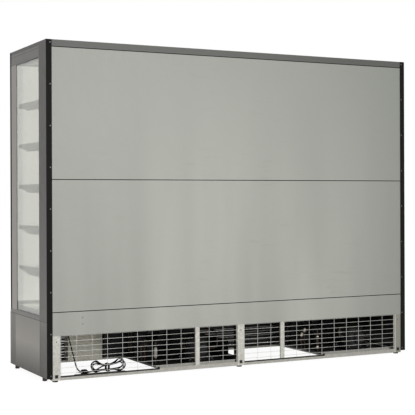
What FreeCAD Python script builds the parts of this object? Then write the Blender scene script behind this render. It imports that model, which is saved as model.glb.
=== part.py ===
import FreeCAD, Part
import math
import os

os.makedirs("parts", exist_ok=True)
V = FreeCAD.Vector

# Long free-standing refrigerated wall cabinet, open at the front.
# Millimetres, +Z up, front at -Y, origin on the floor under the middle of the cabinet.

# Overall sizes
body_length = 2500.0
end_wall = 35.0
height = 2000.0
depth = 720.0
upper_set_back = 5.0
sheet = 1.2
overrun = 5.0
running_clearance = 0.4
seat_clearance = 0.3

# Base frame
foot_pad_height = 10.0
foot_pad_radius = 17.0
foot_stem_radius = 5.0
foot_stem_length = 28.0
post_width = 48.0
post_depth = 50.0
post_wall = 2.0
post_plate = 6.0
post_hole = 18.0
post_hole_height = 23.0
rail_height = 25.0
rear_rail_depth = 78.0
rail_sheet = 2.0
front_rail_depth = 30.0
front_rail_height = 12.0
cross_rail_width = 40.0
runner_width = 40.0
runner_inset = 75.0
stiffener_width = 29.0
stiffener_depth = 10.0
stiffener_offset = 307.0

# Heights of the rear seams and of the tub
beam_lap = 20.0
lower_seam = 408.0
top_flange = 41.0
seam_gap = 5.0
tub_bottom = 290.0
base_foam = 25.0
rear_foam = 45.0
roof_foam = 48.8
duct_depth = 50.0

# Corner trims and fasteners
trim_thickness = 2.0
trim_screw_count = 9
trim_screw_end = 17.0
trim_screw_inset = 10.0
screw_head_radius = 4.0
screw_head_height = 1.6
screw_socket_radius = 1.6
rivet_radius = 7.0
rivet_inset = 186.0
rivet_heights = (333.0, 370.0)
post_screw_drop = 35.0

# End walls
wall_bottom = 22.0
sill_bottom = 352.0
glass_bottom = 376.0
top_rail = 90.0
top_band = 22.0
edge_strip_depth = 35.0
edge_strip_start = 372.0
edge_strip_round = 8.0
front_stile_depth = 102.0
rear_stile_depth = 132.0
lower_front_field = 66.0
lower_rear_field = 113.0
field_joint = 2.0
field_joint_depth = 1.5
glass_thickness = 6.0
glass_inset = 3.0
glass_bite = 10.0
glide_radius = 14.0
glide_inset = 91.0

# Shelves, with the lowest first
shelf_count = 5
shelf_first_top = 654.0
top_space = 256.0
shelf_lip = 20.0
shelf_front_set_back = 103.0
shelf_gap = 2.0
price_rail_height = 26.0
price_rail_depth = 6.0
bracket_thickness = 3.0
bracket_rear_depth = 60.0
bracket_profile_shares = ((0.31, 0.88), (0.66, 0.85), (0.77, 0.60), (0.97, 0.40))
upright_width = 36.0
upright_depth = 12.0
upright_slot_width = 4.0
upright_slot_height = 14.0
upright_slot_pitch = 50.0

# Back liner with its rows of air slots
liner_slot_length = 60.0
liner_slot_height = 6.0
liner_slot_columns = 18
liner_slot_rise = 70.0

# Deck, tub and lower front
tub_depth = 90.0
deck_lip = 10.0
deck_count = 4
deck_gap = 2.0
ledge_width = 26.0
grille_depth = 62.0
grille_bar = 4.0
grille_bar_count = 7
grille_height = 8.0
support_bar_depth = 14.0
riser_foam = 35.0
riser_rise = 15.0
riser_front_set_back = 15.0
bumper_height = 60.0
bumper_round = 6.0

# Louvred kick panel
kick_set_back = 29.0
kick_bottom = 8.0
louvre_rows = 13
louvre_columns = 8
louvre_height = 7.0
louvre_out = 7.0
louvre_drop = 7.0
louvre_side_margin = 40.0
louvre_bottom_margin = 25.0
louvre_column_gap = 18.0

# Canopy
canopy_height = 78.0
fascia_height = 78.0
fascia_thickness = 8.0
light_depth = 34.0
light_height = 18.0
honeycomb_depth = 50.0
honeycomb_height = 20.0
honeycomb_wall = 2.0
honeycomb_cells = 60
honeycomb_rows = 2

# Wire mesh
wire = 2.0
mesh_first_height = 49.0
mesh_row_pitch = 31.0
mesh_column_pitch = 97.5

# Condensing units: tray, compressor, condenser, fan and pipes
unit_length = 550.0
unit_rear_gap = 2.0
unit_front_gap = 78.6
unit_centre_gap = 11.0
unit_end_gap = 40.0
tray_sheet = 2.0
tray_lip = 12.0
compressor_radius = 75.0
compressor_body = 120.0
compressor_dome = 34.0
compressor_foot = 14.0
compressor_plate_margin = 15.0
condenser_depth = 70.0
condenser_length = 330.0
condenser_height = 200.0
fin_count = 24
fin_groove_depth = 4.0
fin_groove_width = 6.0
shroud_depth = 40.0
shroud_sheet = 2.0
shroud_margin = 8.0
fan_tip_clearance = 4.0
fan_hub_radius = 20.0
fan_hub_length = 22.0
fan_blade_count = 5
fan_blade_thickness = 2.0
fan_blade_chord = 50.0
fan_blade_pitch = 28.0
motor_radius = 36.0
motor_length = 70.0
motor_shaft_radius = 4.0
motor_foot = 30.0
motor_gap = 3.0
pipe_radius = 5.0
pipe_bend = 30.0
drier_radius = 9.0
drier_length = 53.0
drier_lift = 44.0
compressor_share = 0.62
compressor_rear_share = 0.75
condenser_share = 0.42
drier_share = 0.11
pipe_return_share = 0.9

# Evaporator
coil_end_gap = 150.0
coil_height = 62.0
coil_lift = 5.0
coil_rear_gap = 25.0
coil_pass_count = 5
coil_tube_radius = 6.0
evaporator_fan_radius = 74.0
evaporator_fan_offset = 520.0
evaporator_fan_gap = 20.0
evaporator_front_gap = 96.4
evaporator_motor_radius = 28.0
evaporator_motor_height = 34.0
evaporator_hub_radius = 16.0
evaporator_hub_height = 16.0
evaporator_blade_chord = 42.0

# Electrical box, controller and switch
box_length = 236.0
box_depth = 72.0
box_inset = 315.0
controller_length = 150.0
controller_height = 56.0
controller_thickness = 12.0
controller_lift = 140.0
display_length = 60.0
display_height = 26.0
display_depth = 1.5
switch_radius = 8.0
switch_length = 22.0
switch_offset = 45.0
switch_flat = 3.0
switch_tilt = 8.0

# Mains cord
cord_diameter = 8.0
gland_offset = 76.0
gland_flange_radius = 10.0
gland_flange = 5.0
gland_length = 22.0
gland_tip_radius = 6.0
gland_root_radius = 8.0
plug_mesh_gap = 1.5
drop_exit = 14.0
drop_bend_share = 0.45
layer_pitch = 9.6
tail_step = 4.8
hank_offset = 314.0
hank_lift = 31.7
hank_right_reach = 112.0
hank_left_reach = 105.0
hank_first_reach = 193.0
hank_first_rise = 21.0
hank_waist = 15.5
hank_reach_step = 4.0
hank_waist_step = 2.0
hank_quarters = 15
hank_left_tilts = (10.0, 1.0, 15.0)
hank_right_tilts = (13.0, 0.0, 19.0, 7.0)
tail_reach = 124.0
plug_radius = 16.0
plug_length = 30.0
plug_neck_length = 10.0
plug_neck_radius = 7.0
plug_pin_radius = 2.4
plug_pin_length = 19.0
plug_pin_spacing = 19.0
rest_height = 14.0
rest_margin = 10.0

# Places worked out from the sizes
half = body_length / 2
rear = depth / 2
front = -depth / 2
wall_rear = rear - trim_thickness
beam_bottom = tub_bottom - beam_lap
top_seam = height - top_flange
middle_seam = (lower_seam + top_seam) / 2
glass_top = height - top_rail
ceiling = height - canopy_height
fascia_bottom = height - fascia_height
panel_inner = wall_rear - sheet
upper_front = front + upper_set_back
rail_top = foot_pad_height + rail_height
rail_flange_top = foot_pad_height + rail_sheet
front_rail_top = foot_pad_height + front_rail_height
tub_floor = tub_bottom + base_foam
deck_top = tub_floor + tub_depth
riser_top = deck_top + riser_rise
roof_inner = height - sheet
foam_front = panel_inner - rear_foam
foam_top = roof_inner - roof_foam
liner_rear = foam_front - duct_depth
liner_front = liner_rear - sheet
upright_front = liner_front - upright_depth
riser_outer = front + riser_front_set_back
riser_inner = riser_outer + riser_foam
kick_outer = front + kick_set_back
kick_inner = kick_outer + sheet
post_rear_inner = panel_inner - post_depth
mesh_outer = panel_inner - stiffener_depth - wire / 2
mesh_inner = mesh_outer - wire
tray_rear = mesh_inner - wire / 2 - unit_rear_gap
unit_depth = tray_rear - kick_inner - unit_front_gap
tray_front = tray_rear - unit_depth
post_front_inner = kick_inner + post_depth
front_rail_inner = kick_inner + front_rail_depth
post_centres = (half - post_width / 2, 0, post_width / 2 - half)
shelf_front = front + upper_set_back + shelf_front_set_back
shelf_pitch = (ceiling - top_space - shelf_first_top) / (shelf_count - 1)
shelf_tops = [shelf_first_top + shelf_pitch * level for level in range(shelf_count)]
unit_edges = (post_width / 2 + unit_centre_gap + unit_length,
              post_width + unit_end_gap + unit_length - half)
compressor_plate = (compressor_radius + compressor_plate_margin) * 2
coil_rear = liner_front - coil_rear_gap
coil_front = (riser_inner + sheet + evaporator_front_gap + evaporator_fan_radius * 2
              + evaporator_fan_gap)
coil_depth = coil_rear - coil_front
box_left = half - box_inset
box_right = box_left - box_length
control_x = (box_left + box_right) / 2
hank_x = half - post_width - hank_offset
rest_top = rail_flange_top + rest_height
rest_right = hank_x - hank_right_reach - rest_margin
rest_left = (hank_x + tail_reach + cord_diameter + plug_neck_length + plug_length + plug_pin_length
             + rest_margin)


def block(x0, x1, y0, y1, z0, z1):
    return Part.makeBox(x1 - x0, y1 - y0, z1 - z0, V(x0, y0, z0))


def rod(radius, start, axis, length):
    return Part.makeCylinder(radius, length, start, axis)


def prism_along_x(outline, x0, x1):
    points = [V(x0, y, z) for y, z in outline]
    face = Part.Face(Part.makePolygon(points + points[:1]))
    return face.extrude(V(x1 - x0, 0, 0))


def round_edges(solid, radius, chosen):
    return solid.makeFillet(radius, [edge for edge in solid.Edges if chosen(edge.CenterOfMass, edge)])


def save(name, solids):
    Part.makeCompound(solids).exportStep("parts/" + name + ".step")


def mirrored(solid):
    return solid.mirror(V(0, 0, 0), V(1, 0, 0))


X = V(1, 0, 0)
Y = V(0, 1, 0)
Z = V(0, 0, 1)


# Posts: square tubes closed at the foot by a bored plate, with a square hole in the rear face
def post(centre, y0, y1, hole_face):
    x0 = centre - post_width / 2
    x1 = centre + post_width / 2
    tube = block(x0, x1, y0, y1, foot_pad_height, tub_bottom)
    hollow = block(x0 + post_wall, x1 - post_wall, y0 + post_wall, y1 - post_wall,
                   foot_pad_height + post_plate, tub_bottom + overrun)
    middle = (y0 + y1) / 2
    bore = rod(foot_stem_radius + running_clearance, V(centre, middle, foot_pad_height - overrun), Z,
               post_plate + overrun + overrun)
    tube = tube.cut(hollow).cut(bore)
    if hole_face:
        sill = foot_pad_height + post_hole_height - post_hole / 2
        window = block(centre - post_hole / 2, centre + post_hole / 2, y1 - post_wall - overrun,
                       y1 + overrun, sill, sill + post_hole)
        tube = tube.cut(window)
    return tube


rear_post_middle = panel_inner - post_depth / 2
front_post_middle = kick_inner + post_depth / 2
posts = [post(c, post_rear_inner, panel_inner, True) for c in post_centres]
posts += [post(c, kick_inner, post_front_inner, False) for c in post_centres]
save("posts", posts)


# Levelling feet: a round pad with a threaded stem that turns in the post
def levelling_foot(centre, middle):
    pad = rod(foot_pad_radius, V(centre, middle, 0), Z, foot_pad_height)
    rim = pad.Edges
    pad = pad.makeFillet(foot_pad_height / 5, [e for e in rim if e.CenterOfMass.z < foot_pad_height / 2
                                               and e.Closed])
    stem = rod(foot_stem_radius, V(centre, middle, 0), Z, foot_pad_height + foot_stem_length)
    return pad.fuse(stem).removeSplitter()


for side, centre in zip(("left", "centre", "right"), post_centres):
    save("foot_rear_" + side, [levelling_foot(centre, rear_post_middle)])
    save("foot_front_" + side, [levelling_foot(centre, front_post_middle)])

# Bottom rails: angled rear rails and low front rails between the posts, runners under the unit trays,
# cross rails from front to rear, and a folded rest for the cord behind the left rear rail
rails = []
for left, right in zip(post_centres[:-1], post_centres[1:]):
    x0 = right + post_width / 2
    x1 = left - post_width / 2
    lip = block(x0, x1, panel_inner - rail_sheet, panel_inner, foot_pad_height, rail_top)
    flange = block(x0, x1, panel_inner - rear_rail_depth, panel_inner, foot_pad_height, rail_flange_top)
    rails.append(lip.fuse(flange).removeSplitter())
    rails.append(block(x0, x1, kick_inner, front_rail_inner, foot_pad_height, front_rail_top))
for edge in unit_edges:
    for x in (edge - runner_inset, edge - unit_length + runner_inset):
        rails.append(block(x - runner_width / 2, x + runner_width / 2, front_rail_inner, tray_rear,
                           rail_flange_top, rail_top))
for centre in post_centres:
    rails.append(block(centre - cross_rail_width / 2, centre + cross_rail_width / 2, post_front_inner,
                       post_rear_inner, foot_pad_height, rail_top))
rest = block(rest_right, rest_left, panel_inner - rear_rail_depth, tray_rear, rail_flange_top, rest_top)
rest = rest.cut(block(rest_right + rail_sheet, rest_left - rail_sheet,
                      panel_inner - rear_rail_depth - overrun, tray_rear + overrun,
                      rail_flange_top - overrun, rest_top - rail_sheet))
save("base_rails", rails + [rest])

# Slim stiffeners over the mesh, from the rear rail to the beam
stiffener_rear = panel_inner
save("stiffeners", [block(x - stiffener_width / 2, x + stiffener_width / 2, stiffener_rear - stiffener_depth,
                          stiffener_rear, rail_top, tub_bottom)
                    for x in (stiffener_offset, -stiffener_offset)])

# Rear skin: beam, two panels and the roof with its rear flange
save("rear_beam", [block(-half, half, panel_inner, wall_rear, beam_bottom,
                         lower_seam - seam_gap / 2)])
save("lower_rear_panel", [block(-half, half, panel_inner, wall_rear, lower_seam + seam_gap / 2,
                                middle_seam - seam_gap / 2)])
save("upper_rear_panel", [block(-half, half, panel_inner, wall_rear, middle_seam + seam_gap / 2,
                                top_seam - seam_gap / 2)])
roof = block(-half, half, upper_front + fascia_thickness, wall_rear, roof_inner, height)
flange = block(-half, half, panel_inner, wall_rear, top_seam + seam_gap / 2, roof_inner)
save("roof_panel", [roof.fuse(flange).removeSplitter()])

# Insulation: rear wall, base, lower front wall and roof
insulation = [
    block(-half, half, foam_front, panel_inner, tub_bottom, foam_top),
    block(-half, half, riser_inner, foam_front, tub_bottom, tub_floor),
    block(-half, half, riser_outer, riser_inner, tub_bottom, riser_top),
    block(-half, half, upper_front + fascia_thickness, panel_inner, foam_top, roof_inner),
]


# Screws and rivets
def pan_head(x, y, z):
    head = rod(screw_head_radius, V(x, y, z), Y, screw_head_height)
    head = round_edges(head, screw_head_height / 2,
                       lambda c, e: c.y > y + screw_head_height / 2 and e.Closed)
    socket = rod(screw_socket_radius, V(x, y + screw_head_height / 2, z), Y, screw_head_height)
    return head.cut(socket)


trim_screw_span = height - wall_bottom - trim_screw_end * 2
fasteners = []
for side in (1, -1):
    x = side * (half + trim_screw_inset)
    for index in range(trim_screw_count):
        z = wall_bottom + trim_screw_end + trim_screw_span * index / (trim_screw_count - 1)
        fasteners.append(pan_head(x, rear - screw_head_height, z))
for z in rivet_heights:
    fasteners.append(rod(rivet_radius, V(half - rivet_inset, wall_rear, z), Y, screw_head_height / 2))
for centre in post_centres:
    fasteners.append(pan_head(centre, panel_inner, beam_bottom - post_screw_drop))
save("panel_fasteners", fasteners)

# Corner trims: strips over the rear edges of the end walls, sunk for their screws
trims = []
for side in (1, -1):
    strip = block(half, half + end_wall, wall_rear, rear, wall_bottom, height)
    for index in range(trim_screw_count):
        z = wall_bottom + trim_screw_end + trim_screw_span * index / (trim_screw_count - 1)
        strip = strip.cut(rod(screw_head_radius + running_clearance,
                              V(half + trim_screw_inset, rear - screw_head_height, z), Y,
                              screw_head_height + overrun))
    trims.append(strip if side > 0 else mirrored(strip))
save("corner_trims", trims)

# End walls: a rear stile, top rail and sill round two panes that reach into the black nose, a flat strip
# over the outer pane beside the nose, a lower panel
outer = half + end_wall
stile_start = upper_front + edge_strip_depth
glass_front = stile_start + front_stile_depth
glass_rear = wall_rear - rear_stile_depth
panes = []
for x0 in (half + glass_inset, outer - glass_inset - glass_thickness):
    panes.append(block(x0, x0 + glass_thickness, stile_start - glass_bite, glass_rear + glass_bite,
                       glass_bottom - glass_bite, glass_top + glass_bite))
grooves = Part.makeCompound([
    block(p.BoundBox.XMin - seat_clearance, p.BoundBox.XMax + seat_clearance,
          p.BoundBox.YMin - seat_clearance, p.BoundBox.YMax + seat_clearance,
          p.BoundBox.ZMin, p.BoundBox.ZMax + seat_clearance) for p in panes])
band_bottom = height - top_band
members = [
    block(outer - glass_inset + seat_clearance, outer, stile_start, glass_front, glass_bottom, glass_top),
    block(half, outer, glass_rear, wall_rear, glass_bottom, glass_top),
    block(half, outer, stile_start, wall_rear, glass_top, band_bottom),
    block(half, outer, stile_start, wall_rear, band_bottom, height),
    block(half, outer, stile_start, wall_rear, sill_bottom, glass_bottom),
]
end_frame = [member.cut(grooves) for member in members]
front_nose = block(half, outer, upper_front, stile_start, edge_strip_start, height)
front_nose = round_edges(front_nose, edge_strip_round,
                         lambda c, e: c.y < upper_front + seat_clearance and abs(c.x - half - end_wall / 2)
                         > end_wall / 4).cut(grooves)
nose_sill = block(half, outer, upper_front, stile_start, sill_bottom, edge_strip_start).cut(grooves)
lower_fields = (front, front + lower_front_field, wall_rear - lower_rear_field, wall_rear)
lower_panel = block(half, outer, front, wall_rear, wall_bottom, sill_bottom)
for joint in lower_fields[1:-1]:
    lower_panel = lower_panel.cut(block(outer - field_joint_depth, outer + overrun, joint - field_joint / 2,
                                        joint + field_joint / 2, wall_bottom - overrun,
                                        sill_bottom + overrun))
save("end_frame_left", end_frame + [nose_sill])
save("end_frame_right", [mirrored(s) for s in end_frame + [nose_sill]])
save("end_glass_left", panes)
save("end_glass_right", [mirrored(s) for s in panes])
save("front_edge_strips", [front_nose, mirrored(front_nose)])
glides = [rod(glide_radius, V(half + end_wall / 2, y, 0), Z, wall_bottom)
          for y in (front + glide_inset, wall_rear - glide_inset)]
save("end_lower_panel_left", [lower_panel] + glides)
save("end_lower_panel_right", [mirrored(s) for s in [lower_panel] + glides])

# Back liner with rows of air slots under each shelf, and the slotted uprights
liner = block(-half, half, liner_front, liner_rear, tub_floor, ceiling)
slots = []
slot_span = body_length / liner_slot_columns
for top in shelf_tops:
    for column in range(liner_slot_columns):
        x = -half + slot_span * (column + 0.5)
        z = top - liner_slot_rise
        slots.append(block(x - liner_slot_length / 2, x + liner_slot_length / 2, liner_front - overrun,
                           liner_rear + overrun, z, z + liner_slot_height))
save("back_liner", [liner.cut(Part.makeCompound(slots))])

upright_centres = (half - upright_width / 2, 0, upright_width / 2 - half)
uprights = []
slot_rows = int((ceiling - deck_top) / upright_slot_pitch) - 1
for centre in upright_centres:
    bar = block(centre - upright_width / 2, centre + upright_width / 2, upright_front, liner_front,
                deck_top, ceiling)
    holes = []
    for row in range(slot_rows):
        z = deck_top + upright_slot_pitch * (row + 1)
        for offset in (-upright_width / 4, upright_width / 4):
            holes.append(block(centre + offset - upright_slot_width / 2,
                               centre + offset + upright_slot_width / 2, upright_front - overrun,
                               liner_front - sheet, z, z + upright_slot_height))
    uprights.append(bar.cut(Part.makeCompound(holes)))
save("uprights", uprights)


# Shelves: two folded trays on each level with a price rail on the front lip
def shelf_tray(x0, x1, top):
    tray = block(x0, x1, shelf_front, upright_front, top - shelf_lip, top)
    hollow = block(x0 + sheet, x1 - sheet, shelf_front + sheet, upright_front - sheet,
                   top - shelf_lip - overrun, top - sheet)
    return tray.cut(hollow)


def price_rail(x0, x1, top):
    return prism_along_x(((shelf_front, top), (shelf_front - price_rail_depth / 2, top),
                          (shelf_front - price_rail_depth, top - price_rail_height),
                          (shelf_front, top - price_rail_height)), x0, x1)


def bracket(x0, top):
    reach = upright_front - shelf_front
    under = top - sheet
    lower = [(upright_front - reach * along, under - bracket_rear_depth * down)
             for along, down in bracket_profile_shares]
    tip = upright_front - reach * bracket_profile_shares[-1][0]
    outline = [(upright_front - sheet, under), (upright_front - sheet, top - shelf_lip),
               (upright_front, top - shelf_lip), (upright_front, under - bracket_rear_depth)]
    outline += lower
    outline += [(tip, under)]
    return prism_along_x(outline, x0, x0 + bracket_thickness)


brackets = []
for level, top in enumerate(shelf_tops):
    spans = ((shelf_gap / 2, half - shelf_gap), (shelf_gap - half, -shelf_gap / 2))
    solids = []
    for x0, x1 in spans:
        solids.append(shelf_tray(x0, x1, top))
        solids.append(price_rail(x0, x1, top))
        brackets.append(bracket(x0 + sheet, top))
        brackets.append(bracket(x1 - sheet - bracket_thickness, top))
    save("shelf_" + str(level + 1), solids)
save("shelf_brackets", brackets)

# Tub liner with the ledges and the support bar that carry the deck
deck_seat = deck_top - deck_lip
bar_rear = riser_inner + sheet + grille_depth + support_bar_depth / 2
bar_front = bar_rear - support_bar_depth
tub = [
    block(-half, half, riser_inner, liner_front, tub_floor, tub_floor + sheet),
    block(-half, half, riser_inner, riser_inner + sheet, tub_floor + sheet, deck_seat),
    block(-half, half, riser_inner + sheet, riser_inner + sheet + ledge_width, deck_seat - sheet, deck_seat),
    block(-half, half, liner_front - ledge_width, liner_front, deck_seat - sheet, deck_seat),
    block(-half, half, bar_front, bar_rear, deck_seat - support_bar_depth, deck_seat),
]
save("tub_liner", tub)
save("insulation_core", insulation)

# Deck pans and the return air grille in front of them
pans = []
pan_span = body_length / deck_count
pan_front = riser_inner + sheet + grille_depth + seat_clearance
pan_rear = upright_front - seat_clearance
for index in range(deck_count):
    x0 = -half + pan_span * index + deck_gap / 2
    x1 = x0 + pan_span - deck_gap
    pan = block(x0, x1, pan_front, pan_rear, deck_seat, deck_top)
    pans.append(pan.cut(block(x0 + sheet, x1 - sheet, pan_front + sheet, pan_rear - sheet,
                              deck_seat - overrun, deck_top - sheet)))
save("deck_pans", pans)
grille_front = riser_inner + sheet
grille = block(-half, half, grille_front, grille_front + grille_depth, deck_seat, deck_seat + grille_height)
gap = (grille_depth - grille_bar * grille_bar_count) / (grille_bar_count - 1)
bay = body_length / (deck_count * 2)
windows = []
for column in range(deck_count * 2):
    for row in range(grille_bar_count - 1):
        y0 = grille_front + grille_bar + (grille_bar + gap) * row
        x0 = -half + bay * column + grille_bar
        windows.append(block(x0, x0 + bay - grille_bar * 2, y0, y0 + gap, deck_seat - overrun,
                             deck_seat + grille_height + overrun))
save("return_air_grille", [grille.cut(Part.makeCompound(windows))])

# Lower front: outer sheet and bumper
sheet_front = riser_outer - sheet
bumper = block(-half, half, front, sheet_front, riser_top - bumper_height, riser_top)
bumper = round_edges(bumper, bumper_round, lambda c, e: c.y < front + seat_clearance and abs(c.x) < half / 2)
save("front_panel", [block(-half, half, sheet_front, riser_outer, tub_bottom, riser_top), bumper])

# Kick panel with rows of louvres, plain behind the controller
kick = block(-half, half, kick_outer, kick_inner, kick_bottom, tub_bottom)
louvre_span = (body_length - louvre_side_margin * 2) / louvre_columns
louvre_pitch = (tub_bottom - kick_bottom - louvre_bottom_margin * 2) / louvre_rows
openings = []
blades = []
for column in range(louvre_columns):
    x0 = -half + louvre_side_margin + louvre_span * column + louvre_column_gap / 2
    x1 = x0 + louvre_span - louvre_column_gap
    if x1 > control_x - controller_length / 2 and x0 < control_x + controller_length / 2:
        continue
    for row in range(louvre_rows):
        z0 = kick_bottom + louvre_bottom_margin + louvre_pitch * row + (louvre_pitch - louvre_height) / 2
        z1 = z0 + louvre_height
        openings.append(block(x0, x1, kick_outer - overrun, kick_inner + overrun, z0, z1))
        blades.append(prism_along_x(((kick_outer, z1), (kick_outer - louvre_out, z1 - louvre_drop),
                                     (kick_outer - louvre_out, z1 - louvre_drop + sheet),
                                     (kick_outer, z1 + sheet)), x0, x1))
save("kick_panel", [kick.cut(Part.makeCompound(openings)).fuse(blades).removeSplitter()])

# Canopy: ceiling plate, honeycomb air outlet, light and fascia
fascia_inner = upper_front + fascia_thickness
light_rear = fascia_inner + light_depth
honeycomb_rear = light_rear + honeycomb_depth
ceiling_plate = block(-half, half, honeycomb_rear, liner_rear, ceiling, ceiling + sheet)
canopy_front = block(-half, half, honeycomb_rear, honeycomb_rear + sheet, ceiling + sheet, foam_top)
light_box = block(-half, half, fascia_inner, light_rear, ceiling + light_height, foam_top)
save("canopy", [ceiling_plate.fuse(canopy_front).removeSplitter(), light_box])
fascia = block(-half, half, upper_front, fascia_inner, fascia_bottom, height)
save("canopy_fascia", [round_edges(fascia, fascia_thickness / 2,
                                   lambda c, e: c.y < upper_front + seat_clearance and abs(c.x) < half / 2)])
light = block(-half, half, fascia_inner, light_rear, ceiling, ceiling + light_height)
save("led_light", [round_edges(light, light_height / 3,
                               lambda c, e: c.z < ceiling + seat_clearance and abs(c.x) < half / 2
                               and c.y > light_rear - seat_clearance)])
comb = block(-half, half, light_rear, honeycomb_rear, ceiling, ceiling + honeycomb_height)
cell = (body_length - honeycomb_wall) / honeycomb_cells
row_depth = (honeycomb_depth - honeycomb_wall) / honeycomb_rows
cells = []
for column in range(honeycomb_cells):
    for row in range(honeycomb_rows):
        x0 = -half + honeycomb_wall + cell * column
        y0 = light_rear + honeycomb_wall + row_depth * row
        cells.append(block(x0, x0 + cell - honeycomb_wall, y0, y0 + row_depth - honeycomb_wall,
                           ceiling - overrun, ceiling + honeycomb_height + overrun))
save("air_honeycomb", [comb.cut(Part.makeCompound(cells))])

# Wire mesh: upright wires against the stiffeners, level wires welded inside them
mesh_rows = int((tub_bottom - mesh_first_height) / mesh_row_pitch) + 1


def mesh_panel(x0, x1):
    wires = []
    for row in range(mesh_rows):
        wires.append(rod(wire / 2, V(x0, mesh_inner, mesh_first_height + mesh_row_pitch * row), X, x1 - x0))
    for column in range(math.floor((x1 - x0 - wire) / mesh_column_pitch) + 1):
        x = x0 + wire / 2 + mesh_column_pitch * column
        wires.append(rod(wire / 2, V(x, mesh_outer, rail_flange_top), Z, tub_bottom - rail_flange_top))
    return wires


save("mesh_left", mesh_panel(post_width / 2, half - post_width))
save("mesh_right", mesh_panel(post_width - half, -post_width / 2))

# Condensing units, each laid out from its left edge
tray_floor = rail_top + tray_sheet
condenser_front = tray_front + tray_sheet
condenser_rear = condenser_front + condenser_depth
shroud_rear = condenser_rear + shroud_depth
fan_height = tray_floor + condenser_height / 2
fan_radius = condenser_height / 2 - shroud_margin - fan_tip_clearance
fan_centre_y = shroud_rear - fan_hub_length / 2
motor_front = fan_centre_y + fan_hub_length / 2 + motor_gap


def unit_tray(edge):
    tray = block(edge - unit_length, edge, tray_front, tray_rear, rail_top, rail_top + tray_lip)
    return tray.cut(block(edge - unit_length + tray_sheet, edge - tray_sheet, tray_front + tray_sheet,
                          tray_rear - tray_sheet, tray_floor, rail_top + tray_lip + overrun))


def compressor(x, y):
    shell = rod(compressor_radius, V(x, y, tray_floor + compressor_foot), Z, compressor_body)
    crown = Part.makeSphere(compressor_radius, V(0, 0, 0))
    crown = crown.common(block(-compressor_radius, compressor_radius, -compressor_radius, compressor_radius,
                               0, compressor_radius))
    squash = FreeCAD.Matrix()
    squash.scale(1, 1, compressor_dome / compressor_radius)
    crown = crown.transformGeometry(squash)
    crown.translate(V(x, y, tray_floor + compressor_foot + compressor_body))
    plate = block(x - compressor_plate / 2, x + compressor_plate / 2, y - compressor_plate / 2,
                  y + compressor_plate / 2, tray_floor + compressor_foot - tray_sheet,
                  tray_floor + compressor_foot)
    body = shell.fuse(crown).fuse(plate)
    for sx in (-1, 1):
        for sy in (-1, 1):
            body = body.fuse(rod(compressor_foot, V(x + sx * (compressor_plate / 2 - compressor_foot),
                                                    y + sy * (compressor_plate / 2 - compressor_foot),
                                                    tray_floor), Z, compressor_foot - tray_sheet))
    return body.removeSplitter()


def condenser(x):
    core = block(x - condenser_length / 2, x + condenser_length / 2, condenser_front, condenser_rear,
                 tray_floor, tray_floor + condenser_height)
    pitch = condenser_length / fin_count
    grooves = []
    for index in range(fin_count):
        x0 = x - condenser_length / 2 + pitch * (index + 0.5) - fin_groove_width / 2
        grooves.append(block(x0, x0 + fin_groove_width, condenser_front - overrun,
                             condenser_front + fin_groove_depth, tray_floor - overrun,
                             tray_floor + condenser_height + overrun))
    return core.cut(Part.makeCompound(grooves))


def shroud(x):
    box = block(x - condenser_length / 2, x + condenser_length / 2, condenser_rear, shroud_rear, tray_floor,
                tray_floor + condenser_height)
    box = box.cut(block(x - condenser_length / 2 + shroud_sheet, x + condenser_length / 2 - shroud_sheet,
                        condenser_rear - overrun, shroud_rear - shroud_sheet, tray_floor + shroud_sheet,
                        tray_floor + condenser_height - shroud_sheet))
    return box.cut(rod(fan_radius + fan_tip_clearance, V(x, condenser_rear, fan_height), Y,
                       shroud_depth + overrun))


def fan_along_y(x):
    hub = rod(fan_hub_radius, V(x, fan_centre_y - fan_hub_length / 2, fan_height), Y, fan_hub_length)
    for index in range(fan_blade_count):
        blade = block(-fan_blade_chord / 2, fan_blade_chord / 2, -fan_blade_thickness / 2,
                      fan_blade_thickness / 2, 0, fan_radius)
        blade = blade.common(rod(fan_radius, V(0, -fan_blade_chord, 0), Y, fan_blade_chord * 2))
        blade.rotate(V(0, 0, 0), Z, fan_blade_pitch)
        blade.rotate(V(0, 0, 0), Y, 360.0 * index / fan_blade_count)
        blade.translate(V(x, fan_centre_y, fan_height))
        hub = hub.fuse(blade)
    bore = rod(motor_shaft_radius + running_clearance / 2,
               V(x, fan_centre_y - fan_hub_length / 2 - overrun, fan_height), Y,
               fan_hub_length + overrun * 2)
    return hub.removeSplitter().cut(bore)


def motor_along_y(x):
    can = rod(motor_radius, V(x, motor_front, fan_height), Y, motor_length)
    can = round_edges(can, motor_radius / 6, lambda c, e: c.y > motor_front + motor_length / 2 and e.Closed)
    shaft = rod(motor_shaft_radius, V(x, motor_front - motor_gap - fan_hub_length, fan_height), Y,
                motor_gap + fan_hub_length + motor_length / 2)
    stand = block(x - motor_foot / 2, x + motor_foot / 2, motor_front + motor_length / 4,
                  motor_front + motor_length * 3 / 4, tray_floor, fan_height)
    return can.fuse(shaft).fuse(stand).removeSplitter()


def pipe_run(points, radius, bend):
    edges = []
    start = points[0]
    for index in range(1, len(points) - 1):
        before = (points[index] - points[index - 1]).normalize()
        after = (points[index + 1] - points[index]).normalize()
        half_turn = before.getAngle(after) / 2
        cut_back = bend * math.tan(half_turn)
        arc_start = points[index] - before * cut_back
        arc_end = points[index] + after * cut_back
        inward = (after - before).normalize()
        centre = points[index] + inward * (bend / math.cos(half_turn))
        arc_middle = centre - inward * bend
        edges.append(Part.LineSegment(start, arc_start).toShape())
        edges.append(Part.Arc(arc_start, arc_middle, arc_end).toShape())
        start = arc_end
    edges.append(Part.LineSegment(start, points[-1]).toShape())
    path = Part.Wire(edges)
    ring = Part.Wire(Part.Circle(points[0], (points[1] - points[0]).normalize(), radius).toShape())
    return path.makePipeShell([ring], True, False)


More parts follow.
